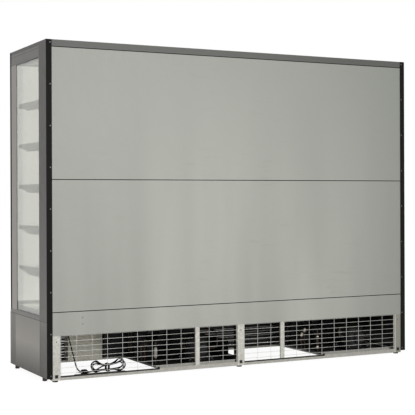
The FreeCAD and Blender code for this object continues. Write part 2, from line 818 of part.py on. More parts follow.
trays = []
compressors = []
condensers = []
shrouds = []
fans = []
motors = []
pipes = []
for edge in unit_edges:
    compressor_x = edge - unit_length * compressor_share
    compressor_y = tray_rear - tray_sheet - compressor_plate * compressor_rear_share
    condenser_x = edge - unit_length * condenser_share
    trays.append(unit_tray(edge))
    compressors.append(compressor(compressor_x, compressor_y))
    condensers.append(condenser(condenser_x))
    shrouds.append(shroud(condenser_x))
    fans.append(fan_along_y(condenser_x))
    motors.append(motor_along_y(condenser_x))
    low = tray_floor + compressor_foot + compressor_body / 2
    corner_x = edge - unit_length * pipe_return_share
    high = tray_floor + condenser_height - pipe_radius * 4
    pipes.append(pipe_run([V(compressor_x - compressor_radius, compressor_y, low),
                           V(corner_x, compressor_y, low),
                           V(corner_x, compressor_y, high),
                           V(corner_x, condenser_rear - condenser_depth / 2, high),
                           V(condenser_x - condenser_length / 2, condenser_rear - condenser_depth / 2,
                             high)],
                          pipe_radius, pipe_bend))
    drier_x = edge - unit_length * drier_share
    drier = rod(drier_radius, V(drier_x, compressor_y, tray_floor + drier_lift), Z, drier_length)
    stem = rod(pipe_radius, V(drier_x, compressor_y, tray_floor), Z, drier_lift * 2 + drier_length)
    pipes.append(drier.fuse(stem).removeSplitter())
save("unit_trays", trays)
save("compressors", compressors)
save("condensers", condensers)
save("fan_shrouds", shrouds)
save("condenser_fan_left", fans[:1])
save("condenser_fan_right", fans[1:])
save("refrigerant_pipes", pipes)

# Evaporator in the tub: finned block with return bends, two flat fans on their motors
coil_length = body_length - coil_end_gap * 2
coil_bottom = tub_floor + sheet
core = block(-coil_length / 2, coil_length / 2, coil_front, coil_rear, coil_bottom + coil_lift,
             coil_bottom + coil_lift + coil_height)
feet = []
for side in (-1, 1):
    x = side * (coil_length / 2 - coil_depth / 4)
    feet.append(block(x - coil_lift, x + coil_lift, coil_front, coil_rear, coil_bottom,
                      coil_bottom + coil_lift))
coil_bends = []
pass_pitch = coil_depth / coil_pass_count
for side in (-1, 1):
    for index in range(coil_pass_count - 1):
        y = coil_front + pass_pitch * (index + 0.5)
        ring = Part.makeTorus(pass_pitch / 2, coil_tube_radius,
                              V(side * coil_length / 2, y + pass_pitch / 2,
                                coil_bottom + coil_lift + coil_height / 2), Z)
        keep = block(0, coil_length, coil_front, coil_rear, coil_bottom,
                     coil_bottom + coil_lift + coil_height)
        keep.translate(V(coil_length / 2, 0, 0))
        if side < 0:
            keep = mirrored(keep)
        if (index + (side > 0)) % 2:
            coil_bends.append(ring.common(keep))
coil = core
for foot in feet:
    coil = coil.fuse(foot)
save("evaporator_coil", [coil.removeSplitter()] + coil_bends)

fan_y = coil_front - evaporator_fan_gap - evaporator_fan_radius
fan_base = coil_bottom + evaporator_motor_height + motor_gap


def fan_along_z(x):
    hub = rod(evaporator_hub_radius, V(x, fan_y, fan_base), Z, evaporator_hub_height)
    for index in range(fan_blade_count):
        blade = block(0, evaporator_fan_radius, -evaporator_blade_chord / 2, evaporator_blade_chord / 2,
                      -fan_blade_thickness / 2, fan_blade_thickness / 2)
        blade = blade.common(rod(evaporator_fan_radius, V(0, 0, -overrun), Z, overrun * 2))
        blade.rotate(V(0, 0, 0), X, fan_blade_pitch / 2)
        blade.rotate(V(0, 0, 0), Z, 360.0 * index / fan_blade_count)
        blade.translate(V(x, fan_y, fan_base + evaporator_hub_height / 2))
        hub = hub.fuse(blade)
    bore = rod(motor_shaft_radius + running_clearance / 2, V(x, fan_y, fan_base - overrun), Z,
               evaporator_hub_height + overrun * 2)
    return hub.removeSplitter().cut(bore)


for side, x in (("left", evaporator_fan_offset), ("right", -evaporator_fan_offset)):
    save("evaporator_fan_" + side, [fan_along_z(x)])
    can = rod(evaporator_motor_radius, V(x, fan_y, coil_bottom), Z, evaporator_motor_height)
    shaft = rod(motor_shaft_radius, V(x, fan_y, coil_bottom), Z,
                evaporator_motor_height + motor_gap + evaporator_hub_height)
    motors.append(can.fuse(shaft).removeSplitter())
save("fan_motors", motors)

# Electrical box behind the kick panel, controller and rocker switch on its front
save("electrical_box", [block(box_right, box_left, kick_inner, kick_inner + box_depth, front_rail_top,
                              tub_bottom)])
controller = block(control_x - controller_length / 2, control_x + controller_length / 2,
                   kick_outer - controller_thickness, kick_outer, controller_lift,
                   controller_lift + controller_height)
controller = round_edges(controller, controller_thickness / 4,
                         lambda c, e: c.y < kick_outer - controller_thickness + seat_clearance)
middle = controller_lift + controller_height / 2
display_x = control_x - switch_offset / 2
controller = controller.cut(block(display_x - display_length / 2, display_x + display_length / 2,
                                  kick_outer - controller_thickness - overrun,
                                  kick_outer - controller_thickness + display_depth,
                                  middle - display_height / 2, middle + display_height / 2))
switch_x = control_x + switch_offset
switch_y = kick_outer - controller_thickness + switch_flat
pocket = rod(switch_radius + running_clearance, V(switch_x - switch_length / 2 - running_clearance,
                                                  switch_y, middle), X,
             switch_length + running_clearance * 2)
controller = controller.cut(pocket)
save("controller", [controller])
rocker = rod(switch_radius, V(switch_x - switch_length / 2, switch_y, middle), X, switch_length)
for side in (-1, 1):
    wedge = block(switch_x - switch_length / 2 - overrun, switch_x + switch_length / 2 + overrun,
                  switch_y - switch_radius - switch_flat, switch_y - switch_radius + switch_flat,
                  middle - switch_radius * 2, middle + switch_radius * 2)
    wedge.rotate(V(switch_x, switch_y - switch_radius + switch_flat, middle), X, side * switch_tilt)
    rocker = rocker.cut(wedge)
rocker.rotate(V(switch_x, switch_y, middle), X, switch_tilt)
save("power_switch", [rocker])

# Mains cord: strain relief under the tub, straight drop, tied hank on its rest, plug
cord_radius = cord_diameter / 2
hank_turns = hank_quarters / 4
plug_y = mesh_inner - wire / 2 - plug_mesh_gap - plug_radius
cord_y = plug_y - tail_step - layer_pitch * hank_turns
gland_x = half - post_width - gland_offset
gland_tip = tub_bottom - gland_length
gland = rod(gland_flange_radius, V(gland_x, cord_y, tub_bottom - gland_flange), Z, gland_flange)
sleeve = Part.makeCone(gland_tip_radius, gland_root_radius, gland_length - gland_flange,
                       V(gland_x, cord_y, gland_tip), Z)
save("cable_gland", [gland.fuse(sleeve).removeSplitter()])

hank_z = rest_top + hank_lift


def hank_point(along, rise, sideways):
    return V(hank_x - along, cord_y + sideways, hank_z + rise)


drop_corner = V(gland_x, cord_y, gland_tip - drop_exit)
hank_points = [hank_point(-hank_first_reach, hank_first_rise, 0)]
hank_tangents = [(hank_points[0] - drop_corner).normalize()]
quarter_turns = (V(0, 0, -1), V(-1, 0, 0), V(0, 0, 1), V(1, 0, 0))
for quarter in range(1, hank_quarters + 1):
    turns = quarter / 4
    shrink = min(turns, hank_turns - turns)
    waist = hank_waist - hank_waist_step * shrink
    left = -hank_left_reach + hank_reach_step * shrink
    right = hank_right_reach - hank_reach_step * shrink
    along, rise = ((left, 0), (0, -waist), (right, 0), (0, waist))[quarter % 4]
    tilt = FreeCAD.Rotation()
    if quarter % 4 == 0:
        tilt = FreeCAD.Rotation(Y, -hank_left_tilts[quarter // 4 - 1])
    elif quarter % 4 == 2:
        tilt = FreeCAD.Rotation(Y, hank_right_tilts[quarter // 4])
    end = tilt.multVec(V(along, 0, -rise))
    hank_points.append(hank_point(end.x, -end.z, layer_pitch * turns))
    hank_tangents.append(tilt.multVec(quarter_turns[quarter % 4]))
plug_rise = plug_radius + seat_clearance - hank_lift
hank_points.append(hank_point(-tail_reach, plug_rise, plug_y - cord_y))
hank_tangents.append(V(1, 0, 0))


def arc_from(start, tangent, end):
    chord = end - start
    angle = tangent.getAngle(chord)
    side = tangent - chord * (tangent.dot(chord) / chord.dot(chord))
    middle = start + chord / 2 + side.normalize() * (chord.Length / 2 * math.tan(angle / 2))
    return Part.Arc(start, middle, end).toShape(), chord.Length / (2 * math.sin(angle))


def biarc(start, start_tangent, end, end_tangent):
    chord = end - start
    total = start_tangent + end_tangent
    openness = 2 * (1 - start_tangent.dot(end_tangent))
    reach = 2 * chord.dot(total)
    if openness < 1e-9:
        length = chord.dot(chord) / reach
    else:
        length = (math.sqrt(reach * reach + 4 * openness * chord.dot(chord)) - reach) / (2 * openness)
    joint = (start + start_tangent * length + end - end_tangent * length) / 2
    first, first_radius = arc_from(start, start_tangent, joint)
    second, second_radius = arc_from(end, end_tangent * -1, joint)
    second_edge = Part.Arc(joint, second.valueAt((second.FirstParameter + second.LastParameter) / 2),
                           end).toShape()
    return [first, second_edge], [first_radius, second_radius]


hank_edges = []
hank_radii = []
lead_start = hank_points[0] - hank_tangents[0] * cord_diameter
hank_edges.append(Part.LineSegment(lead_start, hank_points[0]).toShape())
for index in range(len(hank_points) - 1):
    arcs, radii = biarc(hank_points[index], hank_tangents[index], hank_points[index + 1],
                        hank_tangents[index + 1])
    hank_edges += arcs
    hank_radii += radii
plug_entry = hank_points[-1] + hank_tangents[-1] * cord_diameter
hank_edges.append(Part.LineSegment(hank_points[-1], plug_entry).toShape())
hank_path = Part.Wire(hank_edges)
section = Part.Wire(Part.Circle(lead_start, hank_tangents[0], cord_radius).toShape())
hank = hank_path.makePipeShell([section], True, False)
save("cord_hank", [hank])
print("hank length", round(hank_path.Length, 1), "least radius", round(min(hank_radii), 1),
      "volume share", round(hank.Volume / (math.pi * cord_radius ** 2 * hank_path.Length), 4), hank.isValid())

trace = hank_path.discretize(Distance=cord_radius)
skip = int(cord_diameter * 4 / cord_radius)
least = min(a.distanceToPoint(b) for i, a in enumerate(trace) for b in trace[i + skip:])
print("hank least gap to itself", round(least - cord_diameter, 2))
print("hank lowest point above its rest", round(min(p.z for p in trace) - cord_radius - rest_top, 2))

drop_points = [V(gland_x, cord_y, gland_tip), drop_corner, lead_start]
turn = (drop_points[1] - drop_points[0]).getAngle(drop_points[2] - drop_points[1])
drop_bend = drop_bend_share * drop_exit / math.tan(turn / 2)
drop = pipe_run(drop_points, cord_radius, drop_bend)
save("cord_drop", [drop])
print("drop bend radius", round(drop_bend, 1))

plug_axis = V(1, 0, 0)
neck = Part.makeCone(plug_neck_radius, plug_radius, plug_neck_length, plug_entry, plug_axis)
plug = neck.fuse(rod(plug_radius, plug_entry + plug_axis * plug_neck_length, plug_axis, plug_length))
for side in (-1, 1):
    root = plug_entry + plug_axis * (plug_neck_length + plug_length) + V(0, side * plug_pin_spacing / 2, 0)
    plug = plug.fuse(rod(plug_pin_radius, root, plug_axis, plug_pin_length))
save("mains_plug", [plug.removeSplitter()])
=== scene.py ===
import bpy
import bmesh
import math
from mathutils import Matrix, Vector

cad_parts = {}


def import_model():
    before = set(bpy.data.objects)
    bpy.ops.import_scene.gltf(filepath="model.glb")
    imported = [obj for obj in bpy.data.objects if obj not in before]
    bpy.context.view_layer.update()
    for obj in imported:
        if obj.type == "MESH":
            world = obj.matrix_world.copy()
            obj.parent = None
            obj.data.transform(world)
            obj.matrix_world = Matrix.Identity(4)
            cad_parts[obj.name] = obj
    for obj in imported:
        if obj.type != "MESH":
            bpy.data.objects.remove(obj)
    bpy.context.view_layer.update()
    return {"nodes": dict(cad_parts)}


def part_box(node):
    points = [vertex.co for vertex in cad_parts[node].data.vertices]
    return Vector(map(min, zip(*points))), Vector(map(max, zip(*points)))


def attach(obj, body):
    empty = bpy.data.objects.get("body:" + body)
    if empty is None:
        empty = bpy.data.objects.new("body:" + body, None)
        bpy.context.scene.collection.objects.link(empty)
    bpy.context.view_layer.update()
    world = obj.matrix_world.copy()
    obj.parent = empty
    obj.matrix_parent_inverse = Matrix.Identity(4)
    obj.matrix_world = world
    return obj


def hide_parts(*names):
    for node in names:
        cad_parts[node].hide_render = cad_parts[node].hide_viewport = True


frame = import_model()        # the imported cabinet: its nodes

cadNodes = frame["nodes"]
cabinetBody = "cabinet"
mm = 0.001
print("frame loaded:", len(cadNodes), "nodes")


# Camera at the height of the cabinet's middle, behind its left end
photoView = {
    "location": (3.3286, 6.4118, 1.0773),
    "yaw": -27.083,
    "roll": -0.211,
    "lens": 94.5,
    "sensor": 36.0,
    "shiftX": -0.0006,
    "shiftY": -0.025,
}


def makeCamera():
    yaw = math.radians(photoView["yaw"])
    roll = math.radians(photoView["roll"])
    ahead = Vector((math.sin(yaw), -math.cos(yaw), 0))
    right = Vector((-math.cos(yaw), -math.sin(yaw), 0))
    up = Vector((0, 0, 1))
    tiltedRight = right * math.cos(roll) + up * math.sin(roll)
    tiltedUp = up * math.cos(roll) - right * math.sin(roll)
    turn = Matrix((tiltedRight, tiltedUp, -ahead)).transposed().to_4x4()
    data = bpy.data.cameras.new("photoCamera")
    data.lens = photoView["lens"]
    data.sensor_width = photoView["sensor"]
    data.shift_x = photoView["shiftX"]
    data.shift_y = photoView["shiftY"]
    camera = bpy.data.objects.new("photoCamera", data)
    camera.matrix_world = Matrix.Translation(photoView["location"]) @ turn
    bpy.context.scene.collection.objects.link(camera)
    bpy.context.scene.camera = camera


makeCamera()
print("camera placed")


# Node helpers for the finishes
def feed(tree, socket, value):
    if isinstance(value, bpy.types.NodeSocket):
        tree.links.new(value, socket)
    else:
        socket.default_value = value


def addNode(tree, kind, settings=None, **sockets):
    node = tree.nodes.new(kind)
    for key, value in (settings or {}).items():
        setattr(node, key, value)
    for key, value in sockets.items():
        feed(tree, node.inputs[key.replace("_", " ")], value)
    return node


def mixShaders(tree, factor, first, second):
    node = addNode(tree, "ShaderNodeMixShader")
    for index, value in enumerate((factor, first.outputs[0], second.outputs[0])):
        feed(tree, node.inputs[index], value)
    return node.outputs[0]


def startGroup(name, inputs, outputs):
    group = bpy.data.node_groups.new(name, "ShaderNodeTree")
    for label, kind, value in inputs:
        socket = group.interface.new_socket(label, in_out="INPUT", socket_type=kind)
        if value is not None:
            socket.default_value = value
    for label, kind in outputs:
        group.interface.new_socket(label, in_out="OUTPUT", socket_type=kind)
    return group, group.nodes.new("NodeGroupInput").outputs, group.nodes.new("NodeGroupOutput").inputs


def mixColor(tree, factor, first, second):
    node = addNode(tree, "ShaderNodeMix", {"data_type": "RGBA"})
    for index, value in ((0, factor), (6, first), (7, second)):
        feed(tree, node.inputs[index], value)
    return node.outputs[2]


def remap(tree, value, low, high, newLow, newHigh):
    node = addNode(tree, "ShaderNodeMapRange", {"clamp": True})
    for index, item in enumerate((value, low, high, newLow, newHigh)):
        feed(tree, node.inputs[index], item)
    return node.outputs[0]


def combined(tree, first, second, operation="MULTIPLY"):
    node = addNode(tree, "ShaderNodeMath", {"operation": operation})
    for index, item in enumerate((first, second)):
        feed(tree, node.inputs[index], item)
    return node.outputs[0]


def inverse(tree, mask):
    return combined(tree, combined(tree, mask, -1.0), 1.0, "ADD")


def along(tree, axis):
    point = addNode(tree, "ShaderNodeTexCoord").outputs["Object"]
    return addNode(tree, "ShaderNodeSeparateXYZ", Vector=point).outputs[axis]


# Cloudy tone: slow and fast noise that lightens and darkens a colour
cloud = {"span": (0.3, 0.7), "slowDetail": 3.0, "fastDetail": 2.0}


def makeToneGroup():
    group, given, out = startGroup("cloudyTone", [
        ("Vector", "NodeSocketVector", None), ("Color", "NodeSocketColor", (0.5, 0.5, 0.5, 1)),
        ("Slow Scale", "NodeSocketFloat", 2.0), ("Fast Scale", "NodeSocketFloat", 180.0),
        ("Slow Depth", "NodeSocketFloat", 0.06), ("Fast Depth", "NodeSocketFloat", 0.05)],
        [("Color", "NodeSocketColor"), ("Grain", "NodeSocketFloat")])
    slow, fast = (addNode(group, "ShaderNodeTexNoise", Vector=given["Vector"], Scale=given[scale],
                          Detail=cloud[detail]).outputs["Fac"]
                  for scale, detail in (("Slow Scale", "slowDetail"), ("Fast Scale", "fastDetail")))
    slowShift = combined(group, remap(group, slow, *cloud["span"], -1.0, 1.0), given["Slow Depth"])
    fastShift = combined(group, remap(group, fast, *cloud["span"], -1.0, 1.0), given["Fast Depth"])
    level = combined(group, combined(group, slowShift, fastShift, "ADD"), 1.0, "ADD")
    scaled = addNode(group, "ShaderNodeVectorMath", {"operation": "SCALE"}, Scale=level)
    group.links.new(given["Color"], scaled.inputs[0])
    group.links.new(scaled.outputs[0], out["Color"])
    group.links.new(fast, out["Grain"])
    return group


# Dust that gathers near the floor, broken up by noise
dust = {"color": (0.42, 0.40, 0.36, 1), "scale": 24.0, "detail": 4.0, "span": (0.35, 0.7),
        "amount": (0.25, 1.0)}


def makeDustGroup():
    group, given, out = startGroup("floorDust", [
        ("Vector", "NodeSocketVector", None), ("Color", "NodeSocketColor", (0.5, 0.5, 0.5, 1)),
        ("Reach", "NodeSocketFloat", 0.3), ("Amount", "NodeSocketFloat", 0.25)],
        [("Color", "NodeSocketColor"), ("Mask", "NodeSocketFloat")])
    height = addNode(group, "ShaderNodeSeparateXYZ", Vector=given["Vector"]).outputs["Z"]
    low = remap(group, height, 0.0, given["Reach"], 1.0, 0.0)
    noise = addNode(group, "ShaderNodeTexNoise", Vector=given["Vector"], Scale=dust["scale"],
                    Detail=dust["detail"])
    patches = remap(group, noise.outputs["Fac"], *dust["span"], *dust["amount"])
    mask = combined(group, combined(group, low, patches), given["Amount"])
    group.links.new(mixColor(group, mask, given["Color"], dust["color"]), out["Color"])
    group.links.new(mask, out["Mask"])
    return group


# Zinc flowers: flat crystal patches with their own tone
def makeSpangleGroup():
    group, given, out = startGroup("zincSpangle", [
        ("Vector", "NodeSocketVector", None), ("Color", "NodeSocketColor", (0.5, 0.5, 0.5, 1)),
        ("Scale", "NodeSocketFloat", 90.0), ("Depth", "NodeSocketFloat", 0.15)],
        [("Color", "NodeSocketColor"), ("Tone", "NodeSocketFloat")])
    cells = addNode(group, "ShaderNodeTexVoronoi", Vector=given["Vector"], Scale=given["Scale"])
    tone = addNode(group, "ShaderNodeSeparateColor", Color=cells.outputs["Color"]).outputs[0]
    shift = combined(group, combined(group, tone, -0.5, "ADD"), given["Depth"])
    scaled = addNode(group, "ShaderNodeVectorMath", {"operation": "SCALE"},
                     Scale=combined(group, shift, 1.0, "ADD"))
    group.links.new(given["Color"], scaled.inputs[0])
    group.links.new(scaled.outputs[0], out["Color"])
    group.links.new(tone, out["Tone"])
    return group


toneGroup = makeToneGroup()
dustGroup = makeDustGroup()
spangleGroup = makeSpangleGroup()


def placeGroup(tree, group, **sockets):
    return addNode(tree, "ShaderNodeGroup", {"node_tree": group}, **sockets)


def objectVector(tree, scale=(1, 1, 1)):
    point = addNode(tree, "ShaderNodeTexCoord").outputs["Object"]
    return addNode(tree, "ShaderNodeMapping", Vector=point, Scale=scale).outputs["Vector"]


finishes = {}


def startMaterial(name, metallic=0.0, roughness=0.5, **sockets):
    material = bpy.data.materials.new(name)
    material.use_nodes = True
    tree = material.node_tree
    shader = tree.nodes["Principled BSDF"]
    shader.inputs["Metallic"].default_value = metallic
    shader.inputs["Roughness"].default_value = roughness
    for key, value in sockets.items():
        shader.inputs[key.replace("_", " ")].default_value = value
    finishes[name] = material
    return tree, shader


# Colour with dust on it, roughness that follows the grain, and the grain as bump
def layColor(tree, shader, tone, surface, roughness, swing, dustAmount, dustReach, strength, distance):
    grain = tone.outputs["Grain"]
    rough = remap(tree, grain, *cloud["span"], roughness - swing, roughness + swing)
    if dustAmount:
        dusty = placeGroup(tree, dustGroup, Vector=objectVector(tree), Color=surface, Amount=dustAmount,
                           Reach=dustReach)
        surface = dusty.outputs["Color"]
        rough = combined(tree, rough, dusty.outputs["Mask"], "ADD")
    bump = addNode(tree, "ShaderNodeBump", Height=grain, Strength=strength, Distance=distance)
    feed(tree, shader.inputs["Base Color"], surface)
    feed(tree, shader.inputs["Roughness"], rough)
    feed(tree, shader.inputs["Normal"], bump.outputs["Normal"])


# Sheet metal: a rolled grain along one axis, cloudy tone, zinc flowers and dust
def sheetMetal(name, color, metallic, roughness, grainScale=(1, 1, 1), spangle=0.0, slowDepth=0.05,
               fastDepth=0.04, dustAmount=0.0, dustReach=0.4, bumpStrength=0.15, bumpDistance=0.0004,
               swing=0.06, **sockets):
    tree, shader = startMaterial(name, metallic, roughness, **sockets)
    tone = placeGroup(tree, toneGroup, Vector=objectVector(tree, grainScale), Color=color + (1,),
                      Slow_Depth=slowDepth, Fast_Depth=fastDepth)
    surface = tone.outputs["Color"]
    if spangle:
        surface = placeGroup(tree, spangleGroup, Vector=objectVector(tree), Color=surface,
                             Depth=spangle).outputs["Color"]
    layColor(tree, shader, tone, surface, roughness, swing, dustAmount, dustReach, bumpStrength, bumpDistance)


# Painted or moulded skin: fine orange-peel or leathered grain under an even colour
def paintedSkin(name, color, roughness, peelScale, peel=0.2, peelDistance=0.0003, metallic=0.0,
                slowDepth=0.05, fastDepth=0.03, swing=0.05, **sockets):
    tree, shader = startMaterial(name, metallic, roughness, **sockets)
    tone = placeGroup(tree, toneGroup, Vector=objectVector(tree), Color=color + (1,), Fast_Scale=peelScale,
                      Slow_Depth=slowDepth, Fast_Depth=fastDepth)
    layColor(tree, shader, tone, tone.outputs["Color"], roughness, swing, 0.0, 0.0, peel, peelDistance)


# Clear pane: tinted, and open to lamp light so that the inside stays lit
def clearPane(name, tint, roughness=0.02, slowDepth=0.015):
    tree, shader = startMaterial(name, 0.0, roughness, IOR=1.5, Transmission_Weight=1.0)
    tone = placeGroup(tree, toneGroup, Vector=objectVector(tree), Color=tint + (1,), Slow_Depth=slowDepth,
                      Fast_Depth=0.0)
    feed(tree, shader.inputs["Base Color"], tone.outputs["Color"])
    seeThrough = addNode(tree, "ShaderNodeBsdfTransparent", Color=tint + (1,))
    isShadow = addNode(tree, "ShaderNodeLightPath").outputs["Is Shadow Ray"]
    mixed = mixShaders(tree, isShadow, shader, seeThrough)
    feed(tree, tree.nodes["Material Output"].inputs["Surface"], mixed)


alongX, alongZ, alongFins = (0.15, 1, 1), (1, 1, 0.12), (1, 1, 0.2)
sheetMetal("rearSkin", (0.425, 0.433, 0.39), 0.08, 0.55, alongZ, spangle=0.02, slowDepth=0.2,
           fastDepth=0.012, bumpStrength=0.05)
sheetMetal("zincPost", (0.58, 0.57, 0.515), 0.3, 0.45, spangle=0.22, dustAmount=0.2, dustReach=0.08)
sheetMetal("zincRail", (0.44, 0.43, 0.39), 0.3, 0.45, alongX, spangle=0.2, dustAmount=0.2, dustReach=0.06)
sheetMetal("zincBox", (0.68, 0.67, 0.585), 0.2, 0.5, spangle=0.15)
sheetMetal("brightWire", (0.74, 0.74, 0.70), 0.45, 0.35)
paintedSkin("roofGrey", (0.122, 0.124, 0.114), 0.55, 400.0)
paintedSkin("blackTrim", (0.008, 0.008, 0.007), 0.6, 500.0, peel=0.3, Specular_IOR_Level=0.1)
paintedSkin("noseBlack", (0.004, 0.004, 0.004), 0.7, 500.0, Specular_IOR_Level=0.02)
sheetMetal("stileGrey", (0.058, 0.054, 0.047), 0.2, 0.45, alongZ)
sheetMetal("wallGrey", (0.395, 0.374, 0.338), 0.12, 0.5, alongZ, Specular_IOR_Level=0.3)
clearPane("pane", (0.705, 0.707, 0.66))
paintedSkin("whiteSteel", (0.66, 0.66, 0.62), 0.4, 600.0, peel=0.15)
# the white steel made lighter, as painted light on the shaded deck, tub liner and return grille
paintedSkin("deckLitWhite", (0.84, 0.83, 0.785), 0.45, 350.0)
paintedSkin("foam", (0.55, 0.47, 0.30), 0.9, 260.0, peel=0.6, peelDistance=0.001)
paintedSkin("frontGrey", (0.13, 0.128, 0.122), 0.42, 480.0, metallic=0.25)
paintedSkin("blackPaint", (0.009, 0.009, 0.0095), 0.45, 300.0, Specular_IOR_Level=0.2)
# near black on the unit trays, painted shade for their shaded floors; the recolour of the rear lip gives the
# trays' zinc colour
paintedSkin("trayPaintedShade", (0.012, 0.012, 0.012), 0.55, 300.0, Specular_IOR_Level=0.25)
paintedSkin("kickBlack", (0.010, 0.010, 0.010), 0.55, 420.0, Specular_IOR_Level=0.25)
sheetMetal("copper", (0.05, 0.031, 0.025), 0.6, 0.5, slowDepth=0.3)
sheetMetal("valveBrass", (0.72, 0.68, 0.55), 0.5, 0.35)
sheetMetal("finMetal", (0.10, 0.10, 0.10), 0.6, 0.5, alongFins)
paintedSkin("fanPlastic", (0.015, 0.015, 0.016), 0.5, 380.0, Specular_IOR_Level=0.3)
paintedSkin("footBlack", (0.012, 0.012, 0.012), 0.6, 300.0, Specular_IOR_Level=0.25)
sheetMetal("screwZinc", (0.17, 0.17, 0.165), 0.5, 0.45)
# pale grey of the screen's slats, painted light for the light through the louvre gaps
paintedSkin("slatPaintedLight", (0.42, 0.415, 0.39), 0.5, 420.0)
paintedSkin("drierGrey", (0.38, 0.38, 0.34), 0.5, 500.0)
paintedSkin("lightCover", (0.80, 0.80, 0.78), 0.35, 500.0, peel=0.05)
paintedSkin("outletPlastic", (0.72, 0.72, 0.69), 0.5, 400.0)
paintedSkin("windowBlack", (0.006, 0.008, 0.010), 0.08, 900.0, peel=0.02)
paintedSkin("priceStrip", (0.60, 0.60, 0.58), 0.2, 500.0, peel=0.05)
paintedSkin("controlBlack", (0.02, 0.02, 0.021), 0.35, 500.0)
paintedSkin("cordBlack", (0.007, 0.007, 0.0075), 0.6, 700.0, peel=0.2, Specular_IOR_Level=0.1)
paintedSkin("plugBlack", (0.007, 0.007, 0.0075), 0.6, 600.0, Specular_IOR_Level=0.1)


# Masks on a piece's own coordinates: past a line, before it, between two, or a slow change
def beyond(tree, axis, limit, mirrored=False, blur=0.0005):
    value = along(tree, axis)
    if mirrored:
        value = combined(tree, value, 0.0, "ABSOLUTE")
    return remap(tree, value, limit - blur, limit + blur, 0.0, 1.0)


def before(tree, axis, limit, mirrored=False):
    return inverse(tree, beyond(tree, axis, limit, mirrored))


def band(tree, axis, low, high):
    return combined(tree, beyond(tree, axis, low), before(tree, axis, high))


def ramp(tree, axis, start, end, amount=1.0):
    return remap(tree, along(tree, axis), start, end, 0.0, amount)


# Dark flecks in the zinc and rubbed patches on the rear skin
fleck = {"scale": 210.0, "detail": 2.0, "span": (0.63, 0.69), "amount": 0.7}
scuff = {"stretch": (7, 1, 46), "scale": 1.0, "detail": 5.0, "span": (0.56, 0.7), "amount": 0.3,
         "patchScale": 2.6, "patchSpan": (0.48, 0.62)}


def flecks(tree):
    noise = addNode(tree, "ShaderNodeTexNoise", Vector=objectVector(tree), Scale=fleck["scale"],
                    Detail=fleck["detail"])
    return remap(tree, noise.outputs["Fac"], *fleck["span"], 0.0, fleck["amount"])


def scuffs(tree):
    noise = addNode(tree, "ShaderNodeTexNoise", Vector=objectVector(tree, scuff["stretch"]),
                    Scale=scuff["scale"], Detail=scuff["detail"])
    patches = addNode(tree, "ShaderNodeTexNoise", Vector=objectVector(tree), Scale=scuff["patchScale"])
    return combined(tree, remap(tree, noise.outputs["Fac"], *scuff["span"], 0.0, scuff["amount"]),
                    remap(tree, patches.outputs["Fac"], *scuff["patchSpan"], 0.0, 1.0))


# Places where one node shows two finishes, where a finish slowly changes, and where shade and highlights are
# painted into the colour
lines = {"stripRear": -0.2175, "topRail": 1.910, "topBand": 1.978, "topCap": (1.962, 1.966), "sill": 0.376,
         "sillEdge": 0.348, "stileFront": 0.226, "frontField": -0.245, "wallInner": 1.2505, "trayLip": 0.3395,
         "postWeb": 0.338, "endPost": -1.19, "postLip": -1.2065, "noseRear": -0.3208, "rivetLow": 0.30,
         "rivetReach": 1.2, "pinRoot": 1.0605}
fades = {"skinShadeUp": (0.25, 1.95), "skinShadeRight": (-0.55, -1.26, 0.5), "stileDown": (1.2, 0.4),
         "wallUp": (0.2, 0.352, 0.6), "wallFloorShade": (0.2, 0.02)}
